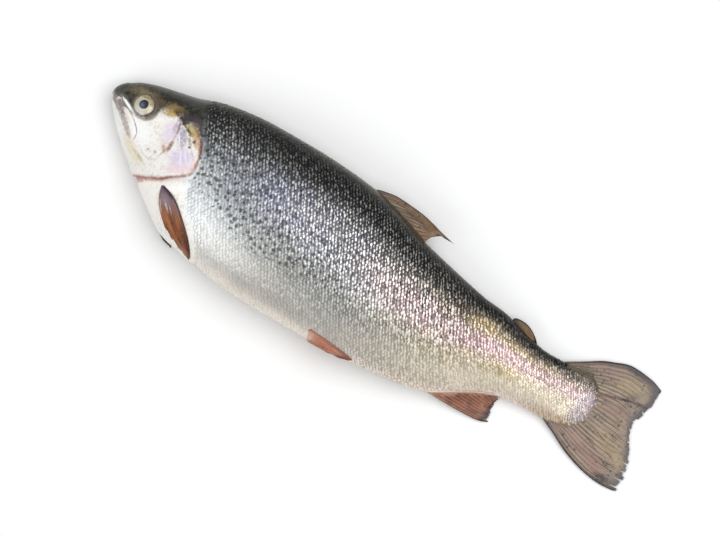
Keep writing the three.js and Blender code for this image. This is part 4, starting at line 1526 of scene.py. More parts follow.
@dataclass(frozen=True)
class ScaleFinish:
    """Wet silver scales: each has a dark root of painted shade and pigment and a bright rear edge, a painted
    glint, and no two are quite alike.
    """

    # the white of each scale's painted glint
    silver: str = "f6f3ee"
    # the painted shade and dark pigment round each glint, and the few all-dark scales
    dark: str = "17181a"
    lean: Point2 = (0.839, 0.545)
    streak_density: Point2 = (760.0, 300.0)
    more_tones: Point2 = (7.31, 23.7)
    roughness: float = 0.3
    metal: float = 0.35
    specular: float = 0.35
    coat: float = 0.13
    coat_roughness: float = 0.12
    refraction: float = 1.36

    def _glitter(self, graph: Graph, along: object, around: object) -> NodeSocket:
        """Fine bright streaks of painted glitter that run slantwise down the flank, whatever scale they lie
        on.
        """
        far = graph.scaled(along, BODY_LENGTH * MM)
        cosine, sine = self.lean
        across = graph.minus(graph.scaled(far, cosine), graph.scaled(around, sine))
        down = graph.plus(graph.scaled(far, sine), graph.scaled(around, cosine))
        narrow, long = self.streak_density
        return graph.noise(graph.join(graph.scaled(across, narrow), graph.scaled(down, long)), 1.0, 2.0, 0.6)

    def build(self, markings: NodeTree) -> Material:
        """Makes the material.

        Args:
            markings: the group that skin and scales share.

        Returns:
            The material.
        """
        plain = {
            "IOR": self.refraction, "Coat Weight": self.coat, "Coat Roughness": self.coat_roughness,
            "Specular IOR Level": self.specular,
        }
        material, graph, shader = new_material("wet_scales", plain)
        place, height, along = graph.place(), graph.attribute("height"), graph.attribute("along")
        around = graph.attribute("around")
        inputs = {"Place": place, "Along": along, "Height": height, "Around": around}
        body = graph.group(markings, inputs)
        contrast = graph.times(body.outputs["Contrast"], graph.scaled(graph.attribute("grown"), 0.85, 0.15))
        tone, rim = graph.attribute("tone"), graph.attribute("rim")
        second, third = (graph.math("FRACT", graph.scaled(tone, factor)) for factor in self.more_tones)
        grain = graph.noise(place, 1400.0, 2.0)
        edge = self._glint_edge(graph, along, around, tone)
        # painted shade, with some dark pigment, round each scale's glint
        scale_shade_and_pigment = graph.times(graph.window(edge, 1.0, 2.1), contrast, graph.scaled(third, 0.5, 0.55))
        colour = graph.mix(scale_shade_and_pigment, body.outputs["Colour"], self.dark)
        # the painted glint: a bright silver dash on each scale
        pale = graph.times(graph.window(height, 0.98, 0.3, 0.14, 0.9), contrast)
        pale = graph.times(pale, graph.window(edge, 1.35, 0.6), graph.scaled(second, 0.8, 0.5))
        unspotted = graph.scaled(body.outputs["Spots"], -0.9, 1.0)
        colour = graph.mix(graph.times(pale, unspotted), colour, self.silver)
        lone = graph.times(graph.window(third, 0.24, 0.08), contrast, 0.55)
        colour = graph.mix(lone, colour, self.dark)
        graph.feed(shader.inputs["Base Color"], colour)
        graph.feed(shader.inputs["Metallic"], graph.times(graph.window(rim, 1.0, 0.5, 0.5, 1.0), self.metal))
        graph.feed(shader.inputs["Roughness"], graph.scaled(grain, 0.14, self.roughness - 0.07))
        graph.bump(shader, grain, strength=0.2, depth=0.2)
        return material

    def _glint_edge(self, graph: Graph, along: object, around: object, tone: object) -> NodeSocket:
        """How far a place lies from the middle of its scale's painted glint, the bright dash, made ragged by
        the glitter.
        """
        long, wide = graph.attribute("glint_long"), graph.attribute("glint_wide")
        away = graph.math("SQRT", graph.plus(graph.times(long, long), graph.times(wide, wide)))
        rear, front = graph.window(along, 0.48, 0.66, 0.62, 1.05), graph.window(along, 0.46, 0.28, 0.0, 1.0)
        glitter = graph.centred(self._glitter(graph, along, around), 2.8)
        uneven = graph.plus(graph.centred(tone, 0.6), glitter)
        return graph.plus(away, graph.times(uneven, graph.larger(rear, front)))


# --- the eyes


@dataclass
class Eye:
    """A flattened eyeball with its iris and pupil, under a clear cornea."""

    form: BodyForm
    where: Placement
    centre: Point2 = (23.0, 8.3)
    radius: float = 8.0
    iris_radius: float = 7.1
    pupil_radius: float = 3.2
    pupil_shift: Point2 = (-0.1, 0.5)
    apex: float = 0.35
    shoulder: float = 0.95
    depth: float = 5.4
    cornea_height: float = 0.95
    cornea_margin: float = 0.35
    slope_reach: float = 6.0
    slope_share: float = 0.75
    steps: int = 72

    def _revolve(self, name: str, profile: Sequence[Point2], matrix: Matrix) -> Mesh:
        """Turns a profile of radius and height round the eye's axis.

        Args:
            name: the mesh's name.
            profile: radius and height, from the front pole to the back pole.
            matrix: puts the turned shape in its place.

        Returns:
            The closed mesh.
        """
        bm = bmesh.new()
        verts = [bm.verts.new((r, 0.0, h)) for r, h in profile]
        edges = [bm.edges.new(pair) for pair in zip(verts, verts[1:])]
        spun = {"cent": ORIGIN, "axis": (0, 0, 1), "dvec": ORIGIN, "angle": TURN, "steps": self.steps}
        bmesh.ops.spin(bm, geom=verts + edges, use_merge=True, use_duplicate=False, **spun)
        bmesh.ops.remove_doubles(bm, verts=bm.verts[:], dist=1e-4)
        bmesh.ops.recalc_face_normals(bm, faces=bm.faces[:])
        reach = bm.verts.layers.float.new("reach")
        turn = bm.verts.layers.float.new("turn")
        for vert in bm.verts:
            shift = Vector((vert.co.x - self.pupil_shift[0], vert.co.y - self.pupil_shift[1]))
            notch = 1 + 0.1 * max(0.0, math.cos(math.atan2(shift.y, shift.x) - math.radians(215))) ** 3
            vert[reach] = shift.length / notch / self.iris_radius
            vert[turn] = math.atan2(vert.co.y, vert.co.x) / TURN + 0.5
        bmesh.ops.transform(bm, matrix=matrix, verts=bm.verts[:])
        return write_mesh(bm, bpy.data.meshes.new(name))

    def _surface(self, right: float = 0.0, up: float = 0.0) -> float:
        """The flank's height at the eye's centre, or a step away from it."""
        return float(self.form.flank_height(np.array(self.centre[0] + right), np.array(self.centre[1] + up)))

    def _matrix(self, left: bool) -> Matrix:
        """Stands the eye's axis out of the flank, between straight out and square to the skin."""
        x, y = self.centre
        near = self.slope_reach
        rise_x = (self._surface(near) - self._surface(-near)) / (2 * near)
        rise_y = (self._surface(0.0, near) - self._surface(0.0, -near)) / (2 * near)
        out = Vector((-rise_x * self.slope_share, -rise_y * self.slope_share, 1.0)).normalized()
        surface = self._surface()
        axis = float(self.form.line("axis", np.array(x)))
        if not left:
            out.z = -out.z
            surface = 2 * axis - surface
        place = self.where.metres(np.array([x, y, surface]))
        forward = Vector((1.0, 0.0, 0.0))
        across = out.cross(forward).normalized()
        forward = across.cross(out)
        if not left:
            across = -across
        turned = Matrix((forward, across, out)).transposed().to_4x4()
        return Matrix.Translation(Vector(place)) @ turned @ Matrix.Scale(MM, 4)

    def _ball_profile(self) -> list[Point2]:
        """The front of the eyeball, with its bulging lens and dished iris, and its plain back."""
        points = []
        for step in range(13):
            r = self.pupil_radius * step / 12
            points.append((r, self.apex - 0.05 + 0.22 * (1 - (r / self.pupil_radius) ** 2)))
        for step in range(1, 15):
            share = step / 14
            r = self.pupil_radius + (self.iris_radius - self.pupil_radius) * share
            dish = 0.16 * math.cos(share * math.pi) ** 3
            points.append((r, self.apex - self.shoulder * share**1.7 + dish - 0.08))
        low = points[-1][1]
        for step in range(1, 17):
            share = step / 16 * math.pi / 2
            r = self.iris_radius + (self.radius - self.iris_radius) * math.sin(share * 2)
            r = r if step < 9 else self.radius * math.cos((share - math.pi / 4) * 2)
            points.append((max(r, 0.0), low - 0.3 - (self.depth + low) * (1 - math.cos(share))))
        return points

    def _cornea_profile(self) -> list[Point2]:
        """A clear lens: a dome over the iris and a flatter underside."""
        rim = self.iris_radius + self.cornea_margin
        drop = self.apex - self.shoulder - 0.1
        shares = [step / 20 for step in range(21)]
        top = self.cornea_height - drop
        outer = [(rim * share, drop + top * math.sqrt(max(1 - share**2 * 0.9, 0))) for share in shares]
        low = outer[-1][1]
        hollow = self.cornea_height - 0.3 - low
        inner = [(rim * share, low - 0.12 + hollow * math.sqrt(max(1 - share**2, 0))) for share in shares]
        return outer + inner[::-1]

    def build(self, ball: Material, clear: Material) -> list[Object]:
        """Makes both eyes.

        Args:
            ball: the material of the eyeball.
            clear: the material of the cornea.

        Returns:
            The eyeballs and corneas.
        """
        pieces = []
        for side in ("left", "right"):
            matrix = self._matrix(side == "left")
            mesh = self._revolve(f"eyeball_{side}", self._ball_profile(), matrix)
            pieces.append(finish_piece(mesh, ball, (f"eye_{side}",)))
            mesh = self._revolve(f"cornea_{side}", self._cornea_profile(), matrix)
            pieces.append(finish_piece(mesh, clear))
        return pieces


@dataclass(frozen=True)
class EyeFinish:
    """A cream and gold iris round a pupil with a blue-grey patch."""

    iris: str = "f1e7cf"
    iris_shadow: str = "c9b68c"
    iris_inner: str = "f3ecd8"
    iris_outer: str = "7d705a"
    pupil: str = "0c0d12"
    # the blue-grey of the patch in the pupil
    cloud: str = "7288a6"
    pupil_patch_centre: Point2 = (21.9, 7.6)
    pupil_patch_radius: float = 3.0
    coat: float = 0.6
    coat_roughness: float = 0.05
    cornea_refraction: float = 1.34
    patches: tuple[Patch, ...] = (
        # the gold patches darken the top of the iris in painted shade over its own gold; the pale patch low
        # down is painted light
        Patch("ab915c", 26.4, 13.1, 6.4, 2.6, -42, 1.3), Patch("a08654", 22.1, 14.5, 4.8, 1.8, 13, 1.1),
        Patch("fbf8f0", 21.9, 3.3, 6.6, 2.9, -17, 0.8),
    )

    def ball(self, where: Placement) -> Material:
        """Makes the eyeball's material, with a blue-grey patch low in the front of the pupil."""
        plain = {"Coat Weight": self.coat, "Coat Roughness": self.coat_roughness}
        material, graph, shader = new_material("eye_iris", plain)
        place, reach = graph.place(), graph.attribute("reach")
        streaks = graph.noise(place, 700.0, 4.0, 0.7)
        iris = graph.mix(graph.window(streaks, 0.4, 0.7, 0.0, 0.45), self.iris, self.iris_shadow)
        iris = graph.mix(graph.times(graph.window(reach, 0.56, 0.46), 0.5), iris, self.iris_inner)
        iris = graph.mix(graph.times(graph.window(reach, 0.9, 1.0), 0.7), iris, self.iris_outer)
        middle = tuple(where.metres(np.array([*self.pupil_patch_centre, 0.0])))
        away = graph.vector("DISTANCE", graph.vector("MULTIPLY", place, FLATTEN).outputs[0], middle)
        cloud = graph.window(away.outputs["Value"], self.pupil_patch_radius * MM, 0.0, 0.0, 0.75)
        iris = Patchwork(self.patches).paint(graph, iris, place, where)
        pupil = graph.mix(cloud, self.pupil, self.cloud)
        border = graph.plus(reach, graph.centred(streaks, 0.015))
        graph.feed(shader.inputs["Base Color"], graph.mix(graph.window(border, 0.45, 0.485), pupil, iris))
        graph.feed(shader.inputs["Roughness"], graph.window(streaks, 0.3, 0.7, 0.25, 0.42))
        graph.bump(shader, streaks, strength=0.25, depth=0.2)
        return material

    def cornea(self) -> Material:
        """Makes the clear cornea's material."""
        plain = {"Base Color": "ffffff", "Transmission Weight": 1.0, "IOR": self.cornea_refraction}
        material, graph, shader = new_material("eye_cornea", plain)
        film = graph.noise(graph.place(), 300.0, 2.0)
        graph.feed(shader.inputs["Roughness"], graph.window(film, 0.3, 0.8, 0.0, 0.05))
        return material


# --- the fins


class Lie(Enum):
    """What a fin lies on."""

    MIDLINE = "held out of the body's mid-line, drooping towards the floor"
    FLANK = "flat on the upper flank"
    FLOOR = "flat on the floor, under the body"
    BELLY_LEFT = "folded along the belly, left of its mid-line"
    BELLY_RIGHT = "folded along the belly, right of its mid-line"


@dataclass(frozen=True)
class FinColours:
    """The colours of one fin: membrane, rays, root, margin and leading edge."""

    membrane: str
    ray: str
    root: str
    margin: str
    leading: str
    spots: float = 0.0
    outlined: bool = False
    margin_width: float = 0.2
    leading_width: float = 0.08
    root_reach: float = 0.3
    gloss: float = 0.3
    patches: tuple[Patch, ...] = ()


@dataclass
class Fin:
    """One fin, spread between its leading ray, its last ray, its root and its trailing edge."""

    MASKS = ("ray", "outward", "across")
    name: str
    leading: tuple[Point2, ...]
    trailing: tuple[Point2, ...]
    last: tuple[Point2, ...]
    root: tuple[Point2, ...]
    lie: Lie
    colours: FinColours
    slot: str
    rays: int = 12
    droop: float = 0.0
    fray: float = 0.05
    root_thickness: float = 1.6
    edge_thickness: float = 0.45
    ridge: float = 0.22
    columns_per_ray: int = 8
    bow_fade: float = 1.0
    rows: int = 56
    root_depth: float = 2.2
    droop_power: float = 0.75
    flank_gap: float = 0.75
    belly_gap: float = 0.8
    floor_height: float = 0.9
    floor_gap: float = 0.05
    least_thickness: float = 0.1
    seed: int = 5

    def plan(self, u: Array, t: Array) -> Array:
        """Places of the fin seen from the side, by a blend of its four edges.

        Args:
            u: the share across the fin, from its leading ray to its last.
            t: the share along a ray, from its root to its tip.

        Returns:
            The places by column and row.
        """
        first, final = Trace(self.leading), Trace(self.last)
        base = Trace((self.leading[0], *self.root, self.last[0]))
        tips = Trace((self.leading[-1], *self.trailing, self.last[-1]))
        u_grid, t_grid = u[:, None, None], t[..., None]
        bow = first.at(t) - (1 - t_grid) * base.at(0.0) - t_grid * tips.at(0.0)
        other_bow = final.at(t) - (1 - t_grid) * base.at(1.0) - t_grid * tips.at(1.0)
        straight = (1 - t_grid) * base.at(u)[:, None] + t_grid * tips.at(u)[:, None]
        return straight + (1 - u_grid) ** self.bow_fade * bow + u_grid**self.bow_fade * other_bow

    def _spread(self, form: BodyForm, flat: Array, t: Array) -> Array:
        """Lifts the fin's plan to where it lies."""
        x, y = flat[..., 0], flat[..., 1]
        floor = self.floor_height + self.edge_thickness
        sunk = self.root_depth * smooth_step(0.2, 0.0, t)
        if self.lie is Lie.FLANK:
            z = form.flank_height(x, y) + self.flank_gap - sunk
            return np.stack([x, y, z], -1)
        if self.lie is Lie.FLOOR:
            return np.stack([x, y, np.full_like(x, floor)], -1)
        if self.lie is Lie.MIDLINE:
            axis = form.line("axis", x)
            share = self.droop * np.clip(t, 0, 1) ** self.droop_power
            z = np.maximum(axis + (floor - axis) * share, floor)
            return np.stack([x, y, z], -1)
        side = 1 if self.lie is Lie.BELLY_LEFT else -1
        return form.point(x, math.pi - side * np.radians(y), self.belly_gap - sunk, floor)

    def _branching(self, u: Array, t: Array) -> Array:
        """The height, 0 to 1, of the rays, which fork twice on their way to the margin."""
        cell = u[:, None] * self.rays
        away = cell - np.floor(cell) - 0.5
        fork = 0.25 * np.clip((t - 0.15) / 0.7, 0, 1)
        twig = 0.125 * np.clip((t - 0.5) / 0.5, 0, 1)
        gap = np.full(np.broadcast(away, t).shape, 9.0)
        for side in (-1, 1):
            for second in (-1, 1):
                gap = np.minimum(gap, np.abs(away - side * fork - second * twig))
        width = 0.2 - 0.13 * smooth_step(0.2, 0.9, t)
        return np.exp(-((gap / width) ** 2))

    def build(self, form: BodyForm, where: Placement, material: Material) -> Object:
        """Makes the fin.

        Args:
            form: the body that it grows from.
            where: how the body lies in the frame.
            material: what it is dressed in.

        Returns:
            The fin's object.
        """
        draw = np.random.default_rng(self.seed)
        columns = self.rays * self.columns_per_ray
        u = np.linspace(0, 1, columns + 1)
        t = np.linspace(0, 1, self.rows + 1)[None] * np.ones((columns + 1, 1))
        cell = u * self.rays
        between = np.abs(cell - np.floor(cell) - 0.5) * 2
        worn = draw.random(self.rays + 2)[np.minimum(np.floor(cell).astype(int), self.rays)]
        torn = draw.random(self.rays + 2)[np.rint(cell).astype(int)]
        fine = np.abs(np.sin(cell * math.pi * 4)) * 0.35
        notch = self.fray * (0.5 * worn + 2.2 * torn**4 * smooth_step(0.6, 1.0, between) + fine)
        t = t * (1 - notch[:, None] * smooth_step(0.0, 0.12, u)[:, None] * t**3)
        flat = self.plan(u, t)
        middle = self._spread(form, flat, t)
        normal = unit(np.cross(np.gradient(middle, axis=0), np.gradient(middle, axis=1)))
        up = np.array([0, 0, 1.0])
        if self.lie in (Lie.BELLY_LEFT, Lie.BELLY_RIGHT):
            up = np.array([0, -1.0, 0])
        normal = normal * np.where((normal @ up) < 0, -1.0, 1.0)[..., None]
        ray = self._branching(u, t)
        thick = self.edge_thickness + (self.root_thickness - self.edge_thickness) * (1 - t) ** 2
        sides = smooth_step(0.0, 0.015, u) * smooth_step(1.0, 0.985, u)
        rim = sides[:, None] * smooth_step(1.0, 0.97, t)
        half = thick / 2 * (0.45 + 0.55 * rim)
        ridge = self.ridge * ray * (0.35 + 0.65 * rim)
        wave = 0.25 * np.sin(cell * 1.9 + self.seed)[:, None] * t**2
        upper = middle + normal * (half + ridge + wave)[..., None]
        lower = middle - normal * (half + ridge * 0.6 - wave)[..., None]
        lower[..., 2] = np.maximum(lower[..., 2], self.floor_gap)
        upper[..., 2] = np.maximum(upper[..., 2], lower[..., 2] + self.least_thickness)
        masks = dict(zip(self.MASKS, (ray, t, u[:, None] * np.ones_like(t))))
        mesh = slab(f"trout_{self.name}", where.metres(lower), where.metres(upper), masks)
        return finish_piece(mesh, material, (self.name,))


@dataclass(frozen=True)
class FinFinish:
    """Wet fin skin over fine rays."""

    spot: str = "2f2926"
    outline: str = "241d1d"
    roughness: float = 0.36
    specular: float = 0.25
    coat_roughness: float = 0.15

    def group(self) -> NodeTree:
        """Builds the group that colours a fin.

        Returns:
            A group from the fin's colours and its masks to its colour.
        """
        inputs = {
            "Place": ORIGIN, "Ray": 0.0, "Outward": 0.0, "Across": 0.0, "Membrane": BLACK,
            "Ray Colour": BLACK, "Root": BLACK, "Margin": BLACK, "Leading": BLACK, "Spots": 0.0,
            "Margin Width": 0.2, "Leading Width": 0.08, "Rays": 12.0, "Root Reach": 0.3,
        }
        outputs = {"Colour": "NodeSocketColor", "Height": "NodeSocketFloat"}
        graph, entry, result = new_group("fin_skin", inputs, outputs)
        got = entry.outputs
        cloud = graph.noise(got["Place"], 110.0, 4.0, 0.6)
        fine = graph.noise(got["Place"], 700.0, 3.0, 0.6)
        flow = graph.join(graph.times(got["Across"], got["Rays"]), graph.scaled(got["Outward"], 1.4))
        streaks = graph.noise(flow, 1.3, 3.0, 0.7)
        threads = graph.noise(graph.stretch(flow, (2.3, 2.2, 1.0)), 1.0, 2.0, 0.5)
        near = graph.plus(got["Outward"], graph.centred(cloud, 0.3))
        near = graph.math("DIVIDE", near, got["Root Reach"])
        tip = graph.plus(graph.minus(1.0, got["Outward"]), graph.times(fine, -0.06))
        tip = graph.math("DIVIDE", tip, got["Margin Width"])
        lead = graph.plus(got["Across"], graph.centred(fine, 0.02))
        lead = graph.math("DIVIDE", lead, got["Leading Width"])
        lead = graph.math("DIVIDE", lead, graph.scaled(got["Outward"], 1.3, 0.35))
        chance, distance = graph.cells(got["Place"], 230.0)
        reach = graph.times(graph.window(chance, 0.35, 1.0, 0.0, 0.32), got["Spots"])
        spot = graph.window(graph.minus(reach, distance), -0.02, 0.1)
        layers = (
            (graph.window(got["Ray"], 0.05, 0.6), got["Ray Colour"]),
            (graph.window(streaks, 0.5, 0.7, 0.0, 0.7), got["Membrane"]),
            (graph.window(threads, 0.56, 0.68, 0.0, 0.6), got["Leading"]),
            (graph.window(threads, 0.42, 0.3, 0.0, 0.4), got["Ray Colour"]),
            (graph.window(cloud, 0.5, 0.72, 0.0, 0.45), got["Margin"]),
            (graph.window(cloud, 0.48, 0.3, 0.0, 0.5), got["Root"]),
            (graph.window(near, 1.0, 0.1), got["Root"]),
            (graph.window(tip, 1.0, 0.3, 0.0, 0.9), got["Margin"]),
            (graph.window(lead, 1.0, 0.2, 0.0, 0.9), got["Leading"]),
            (graph.times(spot, 0.75), self.spot),
            (graph.window(fine, 0.5, 0.75, 0.0, 0.3), self.spot),
        )
        colour = got["Membrane"]
        for share, tint in layers:
            colour = graph.mix(share, colour, tint)
        graph.feed(result.inputs["Colour"], colour)
        joints = graph.node("ShaderNodeTexWave", {"Vector": got["Place"], "Scale": 420.0, "Distortion": 3.0})
        segment = graph.times(joints.outputs["Fac"], got["Ray"])
        graph.feed(result.inputs["Height"], graph.plus(segment, fine))
        return graph.tree

    def build(self, fin: Fin, tree: NodeTree, where: Placement) -> Material:
        """Makes one fin's material.

        Args:
            fin: the fin.
            tree: the group that colours a fin.
            where: how the body lies in the frame.

        Returns:
            The material.
        """
        colours = fin.colours
        plain = {
            "Specular IOR Level": self.specular, "Coat Weight": colours.gloss,
            "Coat Roughness": self.coat_roughness,
        }
        material, graph, shader = new_material(f"fin_skin_{fin.name}", plain)
        place, ray, outward, across = graph.place(), *(graph.attribute(key) for key in Fin.MASKS)
        inputs = {
            "Place": place, "Ray": ray, "Outward": outward, "Across": across, "Membrane": colours.membrane,
            "Ray Colour": colours.ray, "Root": colours.root, "Margin": colours.margin,
            "Leading": colours.leading, "Spots": colours.spots, "Margin Width": colours.margin_width,
            "Leading Width": colours.leading_width, "Rays": float(fin.rays), "Root Reach": colours.root_reach,
        }
        skin = graph.group(tree, inputs)
        colour = skin.outputs["Colour"]
        if colours.patches:
            painted = Patchwork(colours.patches).paint(graph, colour, place, where)
            colour = graph.mix(graph.window(ray, 0.05, 0.6, 0.25, 0.0), painted, colour)
        if colours.outlined:
            edge = graph.larger(graph.window(across, 0.965, 0.988), graph.window(across, 0.012, 0.004))
            colour = graph.mix(graph.times(edge, 0.8), colour, self.outline)
        graph.feed(shader.inputs["Base Color"], colour)
        grain = graph.noise(place, 500.0, 2.0)
        graph.feed(shader.inputs["Roughness"], graph.scaled(grain, 0.16, self.roughness - 0.08))
        graph.bump(shader, skin.outputs["Height"], strength=0.3, depth=0.3)
        return material


def trout_fins() -> list[Fin]:
    """The eight fins of a trout that lies on its right side.

    Returns:
        The fins, with their outlines in millimetres.
    """
    brown = FinColours(
        "5a4434", "96744f", "5c4a3b", "2b2522", "1b1613", spots=0.9, margin_width=0.08, leading_width=0.1,
        patches=(
            Patch("8a6a48", 242.5, 41.6, 8.9, 3.2, -12, 0.9),
            Patch("3a2c24", 217.0, 46.2, 9.7, 1.3, 3, 0.9), Patch("41342b", 229.6, 45.3, 8.1, 1.1, -2, 0.9),
            Patch("9a8a74", 209.6, 45.9, 9.7, 0.8, 5, 0.8), Patch("3a2c24", 236.0, 43.5, 5.7, 1.0, -7, 0.8),
            Patch("47392f", 223.9, 44.7, 4.9, 2.4, 13, 0.6),
        ),
    )
    olive = FinColours(
        "5e4830", "86683f", "1c1813", "1e1915", "15110e", spots=0.2, margin_width=0.3, leading_width=0.24,
        gloss=0.08,
    )
    tail = FinColours(
        "6a574e", "a3907a", "8f7b70", "4f4a49", "322c2e", spots=0.9, outlined=True, margin_width=0.08,
        leading_width=0.06, root_reach=0.35,
        patches=(
            Patch("8c7068", 400.8, 30.5, 16.7, 5.7, 23, 0.7),
            Patch("a99472", 419.5, 28.6, 15.6, 5.7, 23, 0.65),
            Patch("90746b", 420.1, 8.2, 13.5, 6.2, 8, 0.8),
            Patch("a8926e", 432.4, -16.8, 21.9, 7.3, -19, 0.7),
            Patch("a8927a", 420.4, -7.2, 9.4, 5.2, -7, 0.5),
            Patch("8f7068", 419.0, -27.4, 23.9, 6.2, -15, 0.8),
            Patch("9c7a70", 430.6, -33.4, 12.5, 4.2, -15, 0.7),
            Patch("a58880", 406.0, -22.3, 10.4, 5.2, 3, 0.7),
            Patch("5f5440", 380.6, 21.3, 17.7, 5.2, 11, 1.1),
            Patch("2a2620", 377.4, 14.3, 11.5, 4.2, -12, 1.1),
            Patch("3a322e", 389.5, 19.5, 7.3, 2.1, 23, 0.9),
            Patch("3a3230", 398.6, 35.4, 25.0, 1.5, 27, 1.0),
            Patch("453f40", 424.1, 40.8, 17.7, 4.0, -5, 1.0),
            Patch("5d5755", 436.0, 35.9, 6.2, 4.7, -27, 0.9),
            Patch("6a3f40", 411.0, 14.8, 8.9, 1.6, 21, 1.3),
            Patch("2c2022", 422.0, 18.6, 9.9, 1.2, 17, 1.5),
            Patch("3f3a3c", 433.4, 21.2, 7.8, 1.6, 11, 1.2),
            Patch("645d59", 434.1, 13.4, 11.5, 2.5, 83, 0.7),
            Patch("645d59", 440.6, -6.6, 23.9, 1.9, -62, 0.7),
            Patch("3a3434", 439.2, -37.6, 8.3, 4.2, 3, 1.3),
            Patch("6b605c", 448.0, -34.7, 7.3, 4.2, -27, 0.8),
            Patch("4a3630", 433.2, -26.9, 6.2, 0.7, -19, 1.2),
            Patch("4a3630", 420.5, -11.9, 7.3, 0.6, -12, 1.0),
            Patch("4a3630", 419.3, -20.4, 6.2, 0.6, -17, 1.0),
            Patch("4a3630", 435.1, -20.8, 6.2, 0.6, -17, 1.0),
        ),
    )
    russet = FinColours(
        "7c4a3a", "a0705a", "d0a48f", "3a2c2c", "4c3630", margin_width=0.18, leading_width=0.04,
        root_reach=0.35,
    )
    orange = FinColours("b0674a", "c98a70", "dcb6a4", "7c4436", "94604c", margin_width=0.2, leading_width=0.1)
    rust = FinColours(
        "6a3c20", "b06e3c", "74626c", "8a5638", "3b2420", margin_width=0.1, leading_width=0.1, root_reach=0.6,
        patches=(
            Patch("8f7f88", 72.6, -40.5, 6.6, 3.7, -42, 1.0),
            # the three pale streaks by the root are painted highlights
            Patch("d8ccd0", 75.7, -42.6, 5.5, 0.7, -43, 1.2),
            Patch("cbbcc0", 79.5, -43.2, 4.8, 0.5, -45, 1.1),
            Patch("c9a9a0", 72.1, -44.9, 6.6, 0.9, -51, 1.0),
            Patch("3f2a2c", 73.1, -34.1, 11.0, 1.6, -21, 1.4),
            Patch("b06a3c", 86.5, -54.0, 15.4, 1.8, -35, 1.1),
            Patch("7a4024", 91.5, -53.8, 18.7, 2.2, -37, 1.0),
            Patch("5a2c1c", 99.4, -55.8, 14.3, 1.8, -43, 1.2),
            Patch("a8683c", 103.8, -63.2, 6.6, 2.2, -32, 0.9),
            Patch("4a2418", 85.4, -50.6, 8.8, 0.7, -37, 1.0),
            Patch("4a2418", 95.5, -58.4, 7.7, 0.7, -35, 1.0),
            Patch("c98a5e", 97.6, -60.1, 9.9, 0.5, -33, 0.9),
        ),
    )
    slate = FinColours("50544c", "5f625c", "6a655c", "33352f", "33352f", margin_width=0.2, leading_width=0.1)
    pelvic = [
        Fin(
            f"pelvic_fin_{side}",
            leading=((206, 27), (208, 32), (221, 31), (233, 27), (244.2, 21)),
            trailing=((238, 12),),
            last=((208.5, 11), (212, 7.5), (224, 6)),
            root=((207.5, 20),),
            lie=lie, colours=orange, slot="lower_fin", rays=9, fray=0.03, rows=40, root_thickness=1.8,
        )
        for side, lie in (("left", Lie.BELLY_LEFT), ("right", Lie.BELLY_RIGHT))
    ]
    return [
        Fin(
            "dorsal_fin",
            leading=(
                (191, 44), (193, 47.8), (203, 50.7), (211, 51.6), (228, 51), (237.5, 49.6), (247.5, 47.4),
                (259.7, 45.2),
            ),
            trailing=((252, 44.9), (248.4, 44.6), (243.6, 40.5)),
            last=((240, 31), (241.2, 34), (241.9, 37)),
            root=((216, 38.5),),
            lie=Lie.MIDLINE, colours=brown, slot="upper_fin", rays=12, fray=0.012,
            rows=64, root_thickness=2.2,
        ),
        Fin(
            "adipose_fin",
            leading=(
                (323, 20.5), (324.4, 24.8), (328.5, 26.1), (334, 26), (339, 24.4), (344.4, 21.2),
                (347.9, 18),
            ),
            trailing=((347.6, 17.6),),
            last=((343, 15), (345.6, 16.2), (347.2, 17.2)),
            root=((334, 18),),
            lie=Lie.MIDLINE, colours=olive, slot="upper_fin", rays=10, ridge=0.03, fray=0.0,
            rows=24, root_thickness=2.6,
            edge_thickness=0.8, columns_per_ray=4,
        ),
        Fin(
            "caudal_fin",
            leading=(
                (366, 15), (382, 25.4), (394, 33.6), (402, 37.4), (411, 41.2), (419.4, 42), (432, 41),
                (440.6, 38.4),
            ),
            trailing=(
                (442.2, 30), (440.6, 20), (438, 10), (438.2, 3), (444.4, -7), (450, -18.5), (453, -30),
            ),
            last=(
                (371, -20), (383.4, -25.6), (392, -29), (403, -34), (413, -37.4), (425, -40.2),
                (439, -41.4), (453.4, -39.6),
            ),
            root=((386, 12), (394, 0), (386, -15)),
            lie=Lie.MIDLINE, colours=tail, slot="tail_fin", rays=27, droop=1.0, fray=0.06,
            rows=80, root_thickness=4.6,
            bow_fade=2.5,
        ),
        Fin(
            "anal_fin",
            leading=(
                (297, -49), (301, -52.6), (306, -52.8), (320.5, -52.5), (336.6, -51.3), (344.1, -49.9),
                (349.2, -47.4),
            ),
            trailing=((348.5, -43.6), (346.2, -37.5)),
            last=((343, -25.5), (344.6, -27.4), (345.8, -29.8)),
            root=((318, -37.5),),
            lie=Lie.MIDLINE, colours=russet, slot="lower_fin", rays=12, droop=1.0, fray=0.09,
            rows=60, root_thickness=2.2,
        ),
        *pelvic,
        Fin(
            "pectoral_fin_left",
            leading=(
                (67.6, -31.2), (71, -32.4), (75.8, -34), (81.6, -37.4), (88, -42.4), (94.3, -47.6),
                (100.2, -53), (105, -58.4), (108.2, -63), (108.9, -66),
            ),
            trailing=((103.5, -64.8), (96.7, -62), (89.8, -59.2), (84.5, -56.6)),
            last=((65.2, -32), (66.2, -36), (68.3, -41.2), (71.3, -45.6), (75.2, -49.6), (79.9, -53.6)),
            root=((66.4, -31.4),),
            lie=Lie.FLANK, colours=rust, slot="lower_fin", rays=13, fray=0.03,
            rows=56, root_thickness=2.4,
        ),
        Fin(
            "pectoral_fin_right",
            leading=((71, -35.3), (74, -36.5), (78, -40), (84, -47), (88.6, -54), (91, -60), (92, -66.6)),
            trailing=((88.4, -66), (84.6, -65), (79.8, -62.2)),
            last=((65, -34.4), (64.7, -36), (66, -46), (73.6, -57.6)),
            root=((68, -35),),
            lie=Lie.FLOOR, colours=slate, slot="lower_fin", rays=11, fray=0.012,
            rows=40, root_thickness=1.4,
        ),
    ]


# --- the studio


